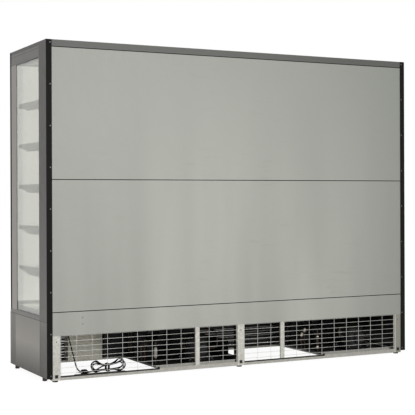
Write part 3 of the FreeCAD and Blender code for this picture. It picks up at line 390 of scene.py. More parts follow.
# near black that stands for the shade inside the machine bay
paintedShade = (0.012, 0.012, 0.012)
recolors = (
    # painted shade: the rear skin darker upwards, so that it is lighter low down as if lit from the floor
    ("rearSkin", (0.374, 0.383, 0.347), lambda tree: ramp(tree, "Z", *fades["skinShadeUp"])),
    # painted shade: the rear skin darker towards its right end, where the lamp's light falls off
    ("rearSkin", (0.305, 0.32, 0.289), lambda tree: ramp(tree, "X", *fades["skinShadeRight"])),
    ("rearSkin", (0.33, 0.34, 0.305), scuffs),
    ("noseBlack", (0.30, 0.28, 0.25), lambda tree: beyond(tree, "Y", lines["noseRear"])),
    ("zincPost", (0.26, 0.25, 0.22), flecks),
    # painted shade: the right end post darker, where the lamp's light falls off
    ("zincPost", (0.29, 0.285, 0.245), lambda tree: before(tree, "X", lines["endPost"])),
    # painted shade: the posts and stiffeners near black everywhere except their rear face and lips
    ("zincPost", paintedShade, lambda tree: before(tree, "Y", lines["postWeb"])),
    # painted highlight: a bright line along the right end post's inner lip
    ("zincPost", (0.74, 0.73, 0.66), lambda tree: combined(
        tree, band(tree, "X", lines["postLip"], lines["endPost"]), beyond(tree, "Y", lines["postWeb"]))),
    ("stileGrey", (0.105, 0.099, 0.09), lambda tree: ramp(tree, "Z", *fades["stileDown"])),
    ("stileGrey", (0.15, 0.142, 0.13), lambda tree: combined(
        tree, band(tree, "Z", lines["topRail"], lines["topBand"]), before(tree, "Y", lines["stileFront"]))),
    ("stileGrey", (0.045, 0.043, 0.04), lambda tree: band(tree, "Z", *lines["topCap"])),
    ("stileGrey", (0.185, 0.175, 0.16), lambda tree: combined(
        tree, band(tree, "Z", 0.0, lines["sill"]), before(tree, "Y", lines["stileFront"]))),
    ("stileGrey", (0.345, 0.322, 0.292), lambda tree: combined(
        tree, before(tree, "Y", lines["stripRear"]), band(tree, "Z", lines["sill"], lines["topRail"]))),
    ("wallGrey", (0.135, 0.129, 0.118), lambda tree: beyond(tree, "Y", lines["stileFront"])),
    ("wallGrey", (0.21, 0.2, 0.185), lambda tree: before(tree, "Y", lines["frontField"])),
    ("wallGrey", (0.26, 0.246, 0.224), lambda tree: ramp(tree, "Z", *fades["wallUp"])),
    # painted shade: the end walls' lower panels darker towards the floor, as contact shade
    ("wallGrey", (0.075, 0.07, 0.063), lambda tree: ramp(tree, "Z", *fades["wallFloorShade"])),
    ("wallGrey", (0.07, 0.066, 0.06), lambda tree: beyond(tree, "Z", lines["sillEdge"])),
    # painted shade: the inner faces of the end walls' lower panels near black
    ("wallGrey", paintedShade, lambda tree: before(tree, "X", lines["wallInner"], True)),
    ("trayPaintedShade", (0.44, 0.43, 0.39), lambda tree: beyond(tree, "Y", lines["trayLip"])),
    ("screwZinc", (0.30, 0.305, 0.28), lambda tree: combined(
        tree, beyond(tree, "Z", lines["rivetLow"]), before(tree, "X", lines["rivetReach"], True))),
    ("plugBlack", (0.60, 0.58, 0.52), lambda tree: beyond(tree, "X", lines["pinRoot"])),
)
for name, color, mask in recolors:
    tree = finishes[name].node_tree
    base = tree.nodes["Principled BSDF"].inputs["Base Color"]
    feed(tree, base, mixColor(tree, mask(tree), base.links[0].from_socket, color + (1,)))

# Finish of each CAD node
nodeFinish = {
    "rearSkin": ["rear_beam", "lower_rear_panel", "upper_rear_panel"],
    "zincPost": ["posts", "stiffeners"],
    "zincRail": ["base_rails"],
    "zincBox": ["electrical_box"],
    "brightWire": ["mesh_left", "mesh_right"],
    "roofGrey": ["roof_panel"],
    "blackTrim": ["corner_trims"],
    "noseBlack": ["front_edge_strips"],
    "stileGrey": ["end_frame_left", "end_frame_right"],
    "wallGrey": ["end_lower_panel_left", "end_lower_panel_right"],
    "pane": ["end_glass_left", "end_glass_right"],
    "deckLitWhite": ["tub_liner", "deck_pans", "return_air_grille"],
    "whiteSteel": ["back_liner", "canopy", "uprights",
                   "shelf_1", "shelf_2", "shelf_3", "shelf_4", "shelf_5", "shelf_brackets"],
    "foam": ["insulation_core"],
    "frontGrey": ["front_panel", "canopy_fascia"],
    "blackPaint": ["compressors", "fan_shrouds", "fan_motors"],
    "trayPaintedShade": ["unit_trays"],
    "kickBlack": ["kick_panel"],
    "copper": ["refrigerant_pipes"],
    "finMetal": ["condensers", "evaporator_coil"],
    "fanPlastic": ["condenser_fan_left", "condenser_fan_right", "evaporator_fan_left",
                   "evaporator_fan_right"],
    "footBlack": ["foot_rear_left", "foot_rear_centre", "foot_rear_right", "foot_front_left",
                  "foot_front_centre", "foot_front_right"],
    "screwZinc": ["panel_fasteners"],
    "lightCover": ["led_light"],
    "outletPlastic": ["air_honeycomb"],
    "controlBlack": ["controller", "power_switch"],
    "cordBlack": ["cable_gland", "cord_drop", "cord_hank"],
    "plugBlack": ["mains_plug"],
}
for finish, names in nodeFinish.items():
    for name in names:
        slots = cadNodes[name].data.materials
        slots.clear()
        slots.append(finishes[finish])
print("finishes on", sum(len(names) for names in nodeFinish.values()), "nodes")


# Mains cord: straight drop from the strain relief, hank of crossing loops built from arcs, lead into the plug
mainsCord = {
    "diameter": 8,
    "length": 2.25,
    "drop": [(1126, 284.5, 268), (1126, 284.5, 254), (1121.5, 284.5, 236), (1087.2, 284.5, 103)],
    "hank": (888, 284.5, 57.7),
    "quarters": 15,
    "pointsPerArc": 7,
    "straight": 1e-6,
    "splineOrder": 3,
    "splineSteps": 6,
    "roundSteps": 3,
    "layerPitch": 9.6,
    "firstReach": 193,
    "firstRise": 21,
    "leftReach": 105,
    "rightReach": 112,
    "reachStep": 4,
    "waist": 15.5,
    "waistStep": 2,
    "leftTilts": (10, 1, 15),
    "rightTilts": (13, 0, 19, 7),
    "plugEntry": (1012, 325.3, 42.3),
    "plugNeck": (1020, 325.3, 42.3),
}


def hankStops():
    cord = mainsCord
    centre, turnsAll = Vector(cord["hank"]), cord["quarters"] / 4
    first = centre + Vector((cord["firstReach"], 0, cord["firstRise"]))
    stops = [(first, (first - Vector(cord["drop"][1])).normalized())]
    for quarter in range(1, cord["quarters"] + 1):
        turns = quarter / 4
        shrink = min(turns, turnsAll - turns)
        waist = cord["waist"] - cord["waistStep"] * shrink
        left, right = (cord[key] - cord["reachStep"] * shrink for key in ("leftReach", "rightReach"))
        away, onward = (((left, 0), (0, -1)), ((0, -waist), (-1, 0)), ((-right, 0), (0, 1)),
                        ((0, waist), (1, 0)))[quarter % 4]
        tilt = 0
        if quarter % 2 == 0:
            tilt = cord["rightTilts"][quarter // 4] if quarter % 4 else -cord["leftTilts"][quarter // 4 - 1]
        turn = Matrix.Rotation(math.radians(tilt), 3, "Y")
        place = centre + turn @ Vector((away[0], 0, away[1])) + Vector((0, cord["layerPitch"] * turns, 0))
        stops.append((place, turn @ Vector((onward[0], 0, onward[1]))))
    return stops + [(Vector(cord["plugEntry"]), Vector((1, 0, 0)))]


def arcPoints(start, tangent, end, count):
    chord = end - start
    angle = tangent.angle(chord)
    axis = tangent.cross(chord).normalized()
    centre = start + axis.cross(tangent).normalized() * (chord.length / (2 * math.sin(angle)))
    return [centre + Matrix.Rotation(2 * angle * step / count, 3, axis) @ (start - centre)
            for step in range(count)]


def twoArcs(first, second, count):
    (start, startWay), (end, endWay) = first, second
    chord = end - start
    openness = 2 * (1 - startWay.dot(endWay))
    reach = 2 * chord.dot(startWay + endWay)
    if openness < mainsCord["straight"]:
        length = chord.dot(chord) / reach
    else:
        length = (math.sqrt(reach ** 2 + 4 * openness * chord.dot(chord)) - reach) / (2 * openness)
    corner, otherCorner = start + startWay * length, end - endWay * length
    joint = (corner + otherCorner) / 2
    return (arcPoints(start, startWay, joint, count)
            + arcPoints(joint, (otherCorner - corner).normalized(), end, count))


def makeCord():
    cord = mainsCord
    route = [Vector(point) for point in cord["drop"]]
    stops = hankStops()
    for first, second in zip(stops, stops[1:]):
        route += twoArcs(first, second, cord["pointsPerArc"])
    route += [Vector(cord["plugEntry"]), Vector(cord["plugNeck"])]
    route = [point * mm for point in route]
    curve = bpy.data.curves.new("mainsCord", "CURVE")
    curve.dimensions = "3D"
    spline = curve.splines.new("NURBS")
    spline.points.add(len(route) - 1)
    for place, point in zip(spline.points, route):
        place.co = (*point, 1)
    spline.order_u = cord["splineOrder"]
    spline.use_endpoint_u = True
    spline.resolution_u = cord["splineSteps"]
    curve.bevel_depth = cord["diameter"] / 2 * mm
    curve.bevel_resolution = cord["roundSteps"]
    curve.use_fill_caps = True
    curve.materials.append(finishes["cordBlack"])
    piece = bpy.data.objects.new("mainsCord", curve)
    bpy.context.scene.collection.objects.link(piece)
    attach(piece, cabinetBody)
    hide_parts("cord_drop", "cord_hank")


makeCord()
print("mains cord laid")


# Shaping helpers, in millimetres
shaping = {"sharpAngle": 38, "mergeReach": 1e-6, "bandSegments": 5, "endNormal": 0.9}


def boxOf(name):
    return [Vector(corner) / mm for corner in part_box(name)]


def edgesOf(verts):
    return list(dict.fromkeys(edge for vert in verts for edge in vert.link_edges))


def addBlock(mesh, low, high, edge=0.0, segments=2):
    low, high = Vector(low) * mm, Vector(high) * mm
    place = Matrix.Translation((low + high) / 2) @ Matrix.Diagonal((*(high - low), 1))
    verts = bmesh.ops.create_cube(mesh, size=1.0, matrix=place)["verts"]
    if not edge:
        return verts
    made = bmesh.ops.bevel(mesh, geom=edgesOf(verts), offset=edge * mm, affect="EDGES", segments=segments,
                           profile=0.5, material=-1)
    return made["verts"]


def addRod(mesh, start, end, radius, sides=16):
    start, end = Vector(start) * mm, Vector(end) * mm
    turn = (end - start).to_track_quat("Z", "Y").to_matrix().to_4x4()
    bmesh.ops.create_cone(mesh, cap_ends=True, segments=sides, radius1=radius * mm, radius2=radius * mm,
                          depth=(end - start).length, matrix=Matrix.Translation((start + end) / 2) @ turn)


def addRing(mesh, centre, axis, radius, wire, sides=8, steps=36):
    centre, axis = Vector(centre) * mm, Vector(axis)
    outward = axis.orthogonal().normalized()
    turn = axis.cross(outward).to_track_quat("Z", "Y").to_matrix().to_4x4()
    verts = bmesh.ops.create_circle(mesh, cap_ends=False, segments=sides, radius=wire * mm,
                                    matrix=Matrix.Translation(centre + outward * radius * mm) @ turn)["verts"]
    bmesh.ops.spin(mesh, geom=verts + edgesOf(verts), cent=centre, axis=axis, dvec=(0, 0, 0),
                   angle=2 * math.pi, steps=steps, use_merge=True, use_duplicate=False)


def addTurned(mesh, centre, axis, outline, steps=24):
    centre, axis = Vector(centre) * mm, Vector(axis)
    outward = axis.orthogonal().normalized()
    verts = [mesh.verts.new(centre + (outward * radius + axis * rise) * mm) for radius, rise in outline]
    edges = [mesh.edges.new(pair) for pair in zip(verts[:-1], verts[1:])]
    bmesh.ops.spin(mesh, geom=verts + edges, cent=centre, axis=axis, dvec=(0, 0, 0), angle=2 * math.pi,
                   steps=steps, use_merge=True, use_duplicate=False)


def addBand(mesh, low, high, corner, thickness):
    verts = addBlock(mesh, low, high)
    faces = dict.fromkeys(face for vert in verts for face in vert.link_faces)
    ends = [face for face in faces if abs(face.normal.x) > shaping["endNormal"]]
    bmesh.ops.delete(mesh, geom=ends, context="FACES_ONLY")
    lengthways = [edge for edge in edgesOf(verts)
                  if abs(edge.verts[0].co.x - edge.verts[1].co.x) > shaping["mergeReach"]]
    bmesh.ops.bevel(mesh, geom=lengthways, offset=corner * mm, affect="EDGES",
                    segments=shaping["bandSegments"], profile=0.5, material=-1)
    bmesh.ops.recalc_face_normals(mesh, faces=mesh.faces[:])
    bmesh.ops.solidify(mesh, geom=mesh.faces[:], thickness=-thickness * mm)


def finishPiece(name, mesh, finish, body=cabinetBody):
    bmesh.ops.remove_doubles(mesh, verts=mesh.verts[:], dist=shaping["mergeReach"])
    bmesh.ops.recalc_face_normals(mesh, faces=mesh.faces[:])
    for face in mesh.faces:
        face.smooth = True
    data = bpy.data.meshes.new(name)
    mesh.to_mesh(data)
    mesh.free()
    data.set_sharp_from_angle(angle=math.radians(shaping["sharpAngle"]))
    data.materials.append(finishes[finish])
    piece = bpy.data.objects.new(name, data)
    bpy.context.scene.collection.objects.link(piece)
    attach(piece, body)


# Tie round the waist of the hank
hankTie = {"width": 13, "rise": 22.5, "front": 280.5, "rear": 327.5, "corner": 9, "thick": 1.4,
           "tail": (5, 9, 6), "tailSink": 1, "tailEdge": 1.5}


def makeHankTie():
    tie = hankTie
    mesh = bmesh.new()
    x, _, z = mainsCord["hank"]
    addBand(mesh, (x - tie["width"] / 2, tie["front"], z - tie["rise"]),
            (x + tie["width"] / 2, tie["rear"], z + tie["rise"]), tie["corner"], tie["thick"])
    width, depth, tall = tie["tail"]
    middle = (tie["front"] + tie["rear"]) / 2
    addBlock(mesh, (x - width / 2, middle - depth / 2, z + tie["rise"] - tie["tailSink"]),
             (x + width / 2, middle + depth / 2, z + tie["rise"] + tall), tie["tailEdge"])
    finishPiece("hankTie", mesh, "cordBlack")


makeHankTie()

# Grip ribs round the plug
plugRib = {"radius": 16.2, "wire": 1.1, "first": 1036, "step": 6, "count": 4}


def makePlugRibs():
    mesh = bmesh.new()
    low, high = boxOf("mains_plug")
    middle = (low + high) / 2
    for index in range(plugRib["count"]):
        addRing(mesh, (plugRib["first"] + plugRib["step"] * index, middle.y, middle.z), (1, 0, 0),
                plugRib["radius"], plugRib["wire"])
    finishPiece("plugRibs", mesh, "cordBlack")


makePlugRibs()
print("hank tied")

# Dark sealing strips, sunk in the seams of the rear skin
seamSeal = {"sink": 0.5, "edge": 0.3}


def makeSeamSeals():
    mesh = bmesh.new()
    stack = [boxOf(name) for name in ("rear_beam", "lower_rear_panel", "upper_rear_panel", "roof_panel")]
    skinInner, skinOuter = stack[0][0].y, stack[0][1].y
    for (low, high), (above, _) in zip(stack[:-1], stack[1:]):
        addBlock(mesh, (low.x, skinInner, high.z), (high.x, skinOuter - seamSeal["sink"], above.z),
                 seamSeal["edge"])
    finishPiece("seamSeals", mesh, "blackTrim")


makeSeamSeals()

# Moulded caps in the square holes of the rear posts
postCap = {"width": 48, "hole": 18, "rim": 1.5, "stand": 0.8, "centreHeight": 33, "frame": 3.5, "dish": 2.5,
           "depth": 5}


def makePostCaps():
    cap = postCap
    mesh = bmesh.new()
    low, high = boxOf("posts")
    face = high.y
    reach = cap["hole"] / 2 + cap["rim"]
    for x in (high.x - cap["width"] / 2, 0, low.x + cap["width"] / 2):
        verts = addBlock(mesh, (x - reach, face - cap["depth"], cap["centreHeight"] - reach),
                         (x + reach, face + cap["stand"], cap["centreHeight"] + reach))
        front = max({side for vert in verts for side in vert.link_faces}, key=lambda side: side.normal.y)
        bmesh.ops.inset_region(mesh, faces=[front], thickness=cap["frame"] * mm, depth=0)
        bmesh.ops.translate(mesh, verts=front.verts[:], vec=(0, -cap["dish"] * mm, 0))
    finishPiece("postCaps", mesh, "footBlack")


makePostCaps()

# Dark strip along the rear rail where no tray stands behind it, painted shade for the shadow inside the
# rail's channel, with a clip beside each tray
railShadeStrip = {"runs": ((579, 1201), (-618, -25)), "drop": 8, "cap": 0.6, "wall": 2, "side": 0.7, "edge": 0.5,
              "clip": (14, 16), "clipSide": 1.05, "clipEdge": 0.6}


def makeRailShadeStrip():
    shadeRun = railShadeStrip
    mesh = bmesh.new()
    high = boxOf("base_rails")[1]
    inner, top = high.y - shadeRun["wall"] - shadeRun["side"], high.z
    width, tall = shadeRun["clip"]
    for x0, x1 in shadeRun["runs"]:
        addBlock(mesh, (x0, inner, top - shadeRun["drop"]), (x1, high.y + shadeRun["side"], top + shadeRun["cap"]),
                 shadeRun["edge"])
        addBlock(mesh, (x0 - width, inner, top - tall / 2), (x0, high.y + shadeRun["clipSide"], top + tall / 2),
                 shadeRun["clipEdge"])
    finishPiece("railShadeStrip", mesh, "footBlack")


makeRailShadeStrip()

# Dark bead behind each pane, painted shade for the shadow line at the stile's edge, and grey rims above and
# below it, on both faces of each end wall
gasket = {"front": -218, "rear": 226, "bottom": 376, "top": 1910, "width": 4, "inset": 3, "sink": 0.6,
          "edge": 0.8}


def makeGaskets():
    shadeBeads, rims = bmesh.new(), bmesh.new()
    wallLow, wallHigh = boxOf("end_frame_left")
    front, rear, bottom, top = (gasket[key] for key in ("front", "rear", "bottom", "top"))
    width = gasket["width"]
    faces = ((wallHigh.x - gasket["inset"], wallHigh.x - gasket["sink"]),
             (wallLow.x + gasket["sink"], wallLow.x + gasket["inset"]))
    strips = ((shadeBeads, (rear - width, bottom), (rear, top)),
              (rims, (front + width, bottom), (rear - width, bottom + width)),
              (rims, (front + width, top - width), (rear - width, top)))
    for x0, x1 in faces:
        for mesh, (y0, z0), (y1, z1) in strips:
            for low, high in ((x0, x1), (-x1, -x0)):
                addBlock(mesh, (low, y0, z0), (high, y1, z1), gasket["edge"], 1)
    finishPiece("glassShadeBeads", shadeBeads, "blackTrim")
    finishPiece("glassRims", rims, "stileGrey")


makeGaskets()
print("seams, caps and gaskets in place")

# Wire guards over the condenser fans
fanGuard = {"collar": 102, "collarWall": 2, "stand": 6, "wire": 1.2, "rings": (46, 57, 68, 79, 90),
            "spokes": 8}


def makeFanGuards():
    guard = fanGuard
    mesh = bmesh.new()
    shroudRear = boxOf("fan_shrouds")[1].y
    outer, wire, stand = guard["collar"], guard["wire"], guard["stand"]
    inner = outer - guard["collarWall"]
    for name in ("condenser_fan_left", "condenser_fan_right"):
        low, high = boxOf(name)
        x, z = (low.x + high.x) / 2, (low.z + high.z) / 2
        addTurned(mesh, (x, shroudRear, z), (0, 1, 0),
                  ((inner, 0), (outer, 0), (outer, stand), (inner, stand), (inner, 0)), 48)
        centre = Vector((x, shroudRear + stand - wire, z))
        for radius in guard["rings"]:
            addRing(mesh, centre, (0, 1, 0), radius, wire, 6, 48)
        for index in range(guard["spokes"]):
            angle = 2 * math.pi * (index + 0.5) / guard["spokes"]
            away = Vector((math.cos(angle), 0, math.sin(angle)))
            addRod(mesh, centre + away * guard["rings"][0], centre + away * inner, wire, sides=6)
    finishPiece("fanGuards", mesh, "blackPaint")


makeFanGuards()

# Compressor dressing: weld band, terminal cover with its clip, suction stub and valve, foot grommets
compressorFit = {
    "plate": 180, "plateTop": 51, "footInset": 14, "bolt": 6, "boltSpan": (6, 11),
    "grommet": ((0, 0), (11, 0), (12, 2), (11, 4), (8, 6), (0, 6)),
    "shell": 75, "bandHeight": 112, "bandWire": 2.2,
    "cover": (64, 24, 66), "coverBottom": 84, "coverSink": 4, "coverEdge": 5,
    "clipHalf": 18, "clipWire": 1.3, "clipRise": 3, "clipDrop": 8, "clipStand": 2,
    "stub": 7, "stubHeight": 128, "stubSink": 5, "stubReach": 26, "riser": 62,
    "nut": 11, "nutSpan": (20, 34), "valve": 6, "valveRise": 27, "valveReach": 24,
}


def makeCompressorFittings():
    fit = compressorFit
    dark, bright, pipes = bmesh.new(), bmesh.new(), bmesh.new()
    low, high = boxOf("compressors")
    y = (low.y + high.y) / 2
    width, depth, tall = fit["cover"]
    rear, coverTop = y + fit["shell"] - fit["coverSink"], fit["coverBottom"] + tall
    clipRear, clipLow = rear + depth + fit["clipStand"], coverTop - fit["clipDrop"]
    reach = fit["plate"] / 2 - fit["footInset"]
    for x in (high.x - fit["plate"] / 2, low.x + fit["plate"] / 2):
        addRing(dark, (x, y, fit["bandHeight"]), (0, 0, 1), fit["shell"], fit["bandWire"], 8, 48)
        addBlock(dark, (x - width / 2, rear, fit["coverBottom"]), (x + width / 2, rear + depth, coverTop),
                 fit["coverEdge"], 3)
        ends = x - fit["clipHalf"], x + fit["clipHalf"]
        for end in ends:
            addRod(bright, (end, rear, coverTop + fit["clipRise"]), (end, clipRear, clipLow), fit["clipWire"],
                   sides=8)
        addRod(bright, (ends[0], clipRear, clipLow), (ends[1], clipRear, clipLow), fit["clipWire"], sides=8)
        corner = Vector((x + fit["shell"] + fit["stubReach"], y, fit["stubHeight"]))
        addRod(pipes, (x + fit["shell"] - fit["stubSink"], y, fit["stubHeight"]), corner, fit["stub"])
        addTurned(pipes, corner, (0, 0, 1), ((0, -fit["stub"]), (fit["stub"], -fit["stub"]),
                                             (fit["stub"], fit["riser"]), (0, fit["riser"])))
        bottom, top = (corner + Vector((0, 0, rise)) for rise in fit["nutSpan"])
        addRod(bright, bottom, top, fit["nut"], sides=6)
        root = corner + Vector((0, 0, fit["valveRise"]))
        addRod(bright, root, root + Vector((0, fit["valveReach"], 0)), fit["valve"], sides=6)
        for sideX in (-reach, reach):
            for sideY in (-reach, reach):
                foot = Vector((x + sideX, y + sideY, fit["plateTop"]))
                addTurned(dark, foot, (0, 0, 1), fit["grommet"], 16)
                bottom, top = (foot + Vector((0, 0, rise)) for rise in fit["boltSpan"])
                addRod(bright, bottom, top, fit["bolt"], sides=6)
    finishPiece("compressorCovers", dark, "blackPaint")
    finishPiece("compressorNuts", bright, "screwZinc")
    finishPiece("compressorStubs", pipes, "copper")


makeCompressorFittings()

# Drier on the left unit, pipe nuts on the right one, and valve caps on stems on both
drier = {"unit": 550, "edgeShare": 0.11, "sleeve": 11, "neck": 6, "bottom": 74, "top": 140, "taper": 9,
         "nuts": (54, 122), "nutOutline": ((0, 0), (7.5, 0), (9.5, 3), (9.5, 14), (7.5, 17), (0, 17))}
valve = {"stemX": 54, "stemY": 50, "stem": 5, "tops": ((0, 154), (-24, 125)), "lean": (0, 10, 22),
         "capOutline": ((0, 0), (10, 0), (10, 18), (7, 22), (0, 22))}


def makeDriers():
    sleeves, brass, stems = bmesh.new(), bmesh.new(), bmesh.new()
    low, high = boxOf("compressors")
    y = (low.y + high.y) / 2
    trayLow, trayHigh = boxOf("unit_trays")
    left, right = trayHigh.x, trayLow.x + drier["unit"]
    inset = drier["unit"] * drier["edgeShare"]
    sleeve, neck, bottom, top, taper = (drier[key] for key in ("sleeve", "neck", "bottom", "top", "taper"))
    addTurned(sleeves, (left - inset, y, 0), (0, 0, 1),
              ((0, bottom), (neck, bottom), (sleeve, bottom + taper), (sleeve, top - taper), (neck, top),
               (0, top)))
    for height in drier["nuts"]:
        addTurned(brass, (right - inset, y, height), (0, 0, 1), drier["nutOutline"], 6)
    for edge, caps in ((left, stems), (right, brass)):
        for shift, height in valve["tops"]:
            x, stemY = edge - valve["stemX"] - shift, valve["stemY"]
            addRod(stems, (x, stemY, trayLow.z), (x, stemY, height), valve["stem"])
            addTurned(caps, (x, stemY, height), Vector(valve["lean"]).normalized(), valve["capOutline"], 16)
    finishPiece("drierSleeves", sleeves, "drierGrey")
    finishPiece("unitValves", brass, "valveBrass")
    finishPiece("unitStems", stems, "copper")


makeDriers()

# Return bends at the condensers' ends
coilBend = {"radius": 13, "tube": 4.5, "firstHeight": 70, "step": 48, "count": 4, "length": 330}


def makeCoilBends():
    mesh = bmesh.new()
    low, high = boxOf("condensers")
    y = (low.y + high.y) / 2
    for x in (high.x, low.x + coilBend["length"]):
        for index in range(coilBend["count"]):
            addRing(mesh, (x, y, coilBend["firstHeight"] + coilBend["step"] * index), (0, 1, 0),
                    coilBend["radius"], coilBend["tube"], 8, 24)
    finishPiece("condenserBends", mesh, "copper")


makeCoilBends()

# Screen behind the kick panel of the right bay: a dark sheet of painted shade with pale slats of painted
# light, for the louvres and the light through their gaps
louvreScreen = {"x": (-1190, -42), "y": (-329.3, -327.8), "z": (52, 284), "edge": 0.5, "slats": 8,
                "slatTall": 6, "slatDeep": 4, "slatInset": 6, "slatEdge": 1.2}


def makeLouvreScreen():
    screen = louvreScreen
    sheet, slats = bmesh.new(), bmesh.new()
    (x0, x1), (y0, y1), (z0, z1) = screen["x"], screen["y"], screen["z"]
    addBlock(sheet, (x0, y0, z0), (x1, y1, z1), screen["edge"], 1)
    step, half = (z1 - z0) / screen["slats"], screen["slatTall"] / 2
    for row in range(screen["slats"]):
        z = z0 + step * (row + 0.5)
        addBlock(slats, (x0 + screen["slatInset"], y1, z - half),
                 (x1 - screen["slatInset"], y1 + screen["slatDeep"], z + half), screen["slatEdge"])
    finishPiece("louvreShadeSheet", sheet, "blackPaint")
    finishPiece("louvreLightSlats", slats, "slatPaintedLight")


makeLouvreScreen()

# Plates round the units: dark baffles in front, painted shade that hides the louvre openings where the bays
# lie in shade, zinc aprons below the trays, a guard at the left unit's side
baffle = {"rear": -247, "thick": 2, "bottom": 36, "top": 237,
          "runs": ((35, 188), (520, 690), (-677, -612), (-1190, -1009))}
apron = {"thick": 1, "bottom": 13, "top": 36, "edge": 0.3}
sideGuard = {"thick": 2, "foot": 36, "runs": ((-244, 255, 160), (253, 336, 76)), "edge": 0.6}


def makeBayPlates():
    plates, aprons, guard = bmesh.new(), bmesh.new(), bmesh.new()
    for x0, x1 in baffle["runs"]:
        addBlock(plates, (x0, baffle["rear"] - baffle["thick"], baffle["bottom"]),
                 (x1, baffle["rear"], baffle["top"]))
    low, high = boxOf("unit_trays")
    leftStart = high.x - drier["unit"]
    for x0 in (low.x, leftStart):
        addBlock(aprons, (x0, high.y, apron["bottom"]),
                 (x0 + drier["unit"], high.y + apron["thick"], apron["top"]), apron["edge"], 1)
    side = leftStart + sideGuard["edge"]
    for y0, y1, top in sideGuard["runs"]:
        addBlock(guard, (side, y0, sideGuard["foot"]), (side + sideGuard["thick"], y1, top),
                 sideGuard["edge"], 1)
    finishPiece("shadeBaffles", plates, "blackPaint")
    finishPiece("trayAprons", aprons, "zincRail")
    finishPiece("sideGuard", guard, "blackPaint")


makeBayPlates()
print("condensing units dressed")

# Lid with screws on the rear of the electrical box
boxLid = {"margin": 5, "bottom": 18, "thick": 2, "edge": 0.8, "screwInset": 12,
          "screwOutline": ((0, 0), (5, 0), (4, 1.6), (1.8, 2.2), (1.5, 1.2), (0, 1.2))}


def makeBoxLid():
    lid = boxLid
    plate, fixings = bmesh.new(), bmesh.new()
    low, high = boxOf("electrical_box")
    face = high.y + lid["thick"]
    x0, x1 = low.x + lid["margin"], high.x - lid["margin"]
    z0, z1 = low.z + lid["bottom"], high.z - lid["margin"]
    addBlock(plate, (x0, high.y, z0), (x1, face, z1), lid["edge"])
    for x in (x0 + lid["screwInset"], x1 - lid["screwInset"]):
        for z in (z0 + lid["screwInset"], z1 - lid["screwInset"]):
            addTurned(fixings, (x, face, z), (0, 1, 0), lid["screwOutline"], 16)
    finishPiece("boxLid", plate, "zincBox")
    finishPiece("boxScrews", fixings, "screwZinc")


makeBoxLid()

# Clear strips over the price rails
priceStrip = {"levels": 5, "margin": 3, "drop": 4, "height": 18, "thick": 1.2, "lean": 2.0, "edge": 0.4}


def makePriceStrips():
    strip = priceStrip
    mesh = bmesh.new()
    for level in range(strip["levels"]):
        low, high = boxOf("shelf_" + str(level + 1))
        top = high.z - strip["drop"]
        for x0, x1 in ((strip["margin"], high.x - strip["margin"]),
                       (low.x + strip["margin"], -strip["margin"])):
            verts = addBlock(mesh, (x0, low.y - strip["thick"] / 2, top - strip["height"]),
                             (x1, low.y + strip["thick"] / 2, top), strip["edge"], 1)
            upper = [vert for vert in verts if vert.co.z > (top - strip["height"] / 2) * mm]
            bmesh.ops.translate(mesh, verts=upper, vec=(0, strip["lean"] * mm, 0))
    finishPiece("priceStrips", mesh, "priceStrip")


makePriceStrips()

# White capping over the front lip of the tub
lipCapping = {"rear": -308.6, "drop": 403.4, "thick": 1.5, "overlap": 0.6, "sink": 0.3, "edge": 0.5}


def makeLipCapping():
    cap = lipCapping
    mesh = bmesh.new()
    low, high = boxOf("front_panel")
    rear, top = cap["rear"], high.z
    addBlock(mesh, (low.x, low.y + cap["overlap"], top - cap["sink"]), (high.x, rear, top + cap["thick"]),
             cap["edge"])
    addBlock(mesh, (low.x, rear - cap["thick"], cap["drop"]), (high.x, rear, top), cap["edge"])
    finishPiece("lipCapping", mesh, "whiteSteel")


makeLipCapping()

# Lens under the light
lightLens = {"margin": 8, "inset": 6, "drop": 3, "edge": 2.4}


def makeLightLens():
    lens = lightLens
    mesh = bmesh.new()
    low, high = boxOf("led_light")
    addBlock(mesh, (low.x + lens["margin"], low.y + lens["inset"], low.z - lens["drop"]),
             (high.x - lens["margin"], high.y - lens["inset"], low.z), lens["edge"], 4)
    finishPiece("lightLens", mesh, "lightCover")


makeLightLens()

# Window and keys of the controller
controlFace = {"window": (60, 26), "windowShift": -22.5, "windowThick": 1, "windowEdge": 0.3, "sink": 0.7,
               "keys": 4, "keyDrop": 20, "keyOutline": ((0, 0), (3.6, 0), (3.0, 1.1), (0, 1.1))}


def makeControlFace():
    face = controlFace
    window, keys = bmesh.new(), bmesh.new()
    low, high = boxOf("controller")
    x = (low.x + high.x) / 2 + face["windowShift"]
    z = (low.z + high.z) / 2
    y = low.y + face["sink"]
    width, tall = face["window"]
    addBlock(window, (x - width / 2, y, z - tall / 2), (x + width / 2, y + face["windowThick"], z + tall / 2),
             face["windowEdge"], 1)
    for index in range(face["keys"]):
        keyX = x - width / 2 + width * (index + 0.5) / face["keys"]
        addTurned(keys, (keyX, low.y, z - face["keyDrop"]), (0, -1, 0), face["keyOutline"], 20)
    finishPiece("controlWindow", window, "windowBlack")
    finishPiece("controlKeys", keys, "fanPlastic")


makeControlFace()
print("box, price strips, light and controller finished")


# Studio: pale floor and white surround, a broad lamp behind the cabinet's rear face and one above its front
studio = {
    "floorHalf": 30.0,
    "floorColor": (0.80, 0.80, 0.79, 1),
    "floorGlow": 0.94,
    "floorShare": 0.2,
    "worldLight": 0.42,
    "lamps": {
        "keyLamp": {"place": (0.45, 3.2, 1.65), "aim": (0.35, 0.3, 0.95), "size": 2.6, "power": 49.0},
        "frontLamp": {"place": (0.0, -4.2, 4.3), "aim": (0.0, 0.0, 0.9), "size": 2.4, "power": 190.0},
    },
}


def seenDirectly(tree):
    path = addNode(tree, "ShaderNodeLightPath").outputs
    either = combined(tree, path["Is Camera Ray"], path["Is Glossy Ray"], "MAXIMUM")
    return combined(tree, either, path["Is Transmission Ray"], "MAXIMUM")


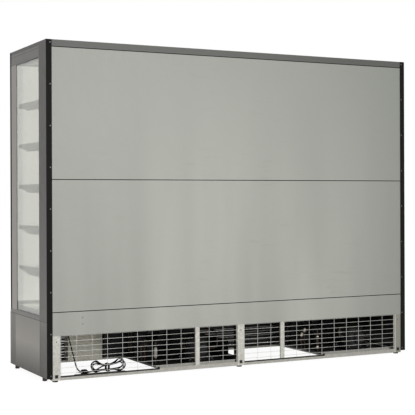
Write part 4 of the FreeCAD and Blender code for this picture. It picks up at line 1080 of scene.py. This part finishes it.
def makeFloor():
    mesh = bmesh.new()
    bmesh.ops.create_grid(mesh, x_segments=1, y_segments=1, size=studio["floorHalf"])
    data = bpy.data.meshes.new("studioFloor")
    mesh.to_mesh(data)
    mesh.free()
    floor = bpy.data.objects.new("studioFloor", data)
    bpy.context.scene.collection.objects.link(floor)
    material = bpy.data.materials.new("studioFloor")
    material.use_nodes = True
    tree = material.node_tree
    tree.nodes.clear()
    matt = addNode(tree, "ShaderNodeBsdfDiffuse", Color=studio["floorColor"])
    shade = addNode(tree, "ShaderNodeBsdfDiffuse",
                    Color=[channel * studio["floorShare"] for channel in studio["floorColor"][:3]] + [1])
    glow = addNode(tree, "ShaderNodeEmission", Color=(1, 1, 1, 1), Strength=studio["floorGlow"])
    pale = addNode(tree, "ShaderNodeAddShader")
    feed(tree, pale.inputs[0], shade.outputs[0])
    feed(tree, pale.inputs[1], glow.outputs[0])
    addNode(tree, "ShaderNodeOutputMaterial", Surface=mixShaders(tree, seenDirectly(tree), matt, pale))
    data.materials.append(material)


def makeSurround():
    world = bpy.data.worlds.new("studioWorld")
    bpy.context.scene.world = world
    world.use_nodes = True
    tree = world.node_tree
    tree.nodes.clear()
    soft = addNode(tree, "ShaderNodeBackground", Color=(1, 1, 1, 1), Strength=studio["worldLight"])
    white = addNode(tree, "ShaderNodeBackground", Color=(1, 1, 1, 1), Strength=1.0)
    addNode(tree, "ShaderNodeOutputWorld", Surface=mixShaders(tree, seenDirectly(tree), soft, white))


def makeLamps():
    for name, values in studio["lamps"].items():
        lamp = bpy.data.lights.new(name, "AREA")
        lamp.energy = values["power"]
        lamp.size = values["size"]
        piece = bpy.data.objects.new(name, lamp)
        place = Vector(values["place"])
        turn = (Vector(values["aim"]) - place).to_track_quat("-Z", "Y")
        piece.matrix_world = Matrix.Translation(place) @ turn.to_matrix().to_4x4()
        piece.visible_camera = False
        bpy.context.scene.collection.objects.link(piece)


makeFloor()
makeSurround()
makeLamps()
bpy.context.scene.view_settings.view_transform = "Standard"
print("studio lit")
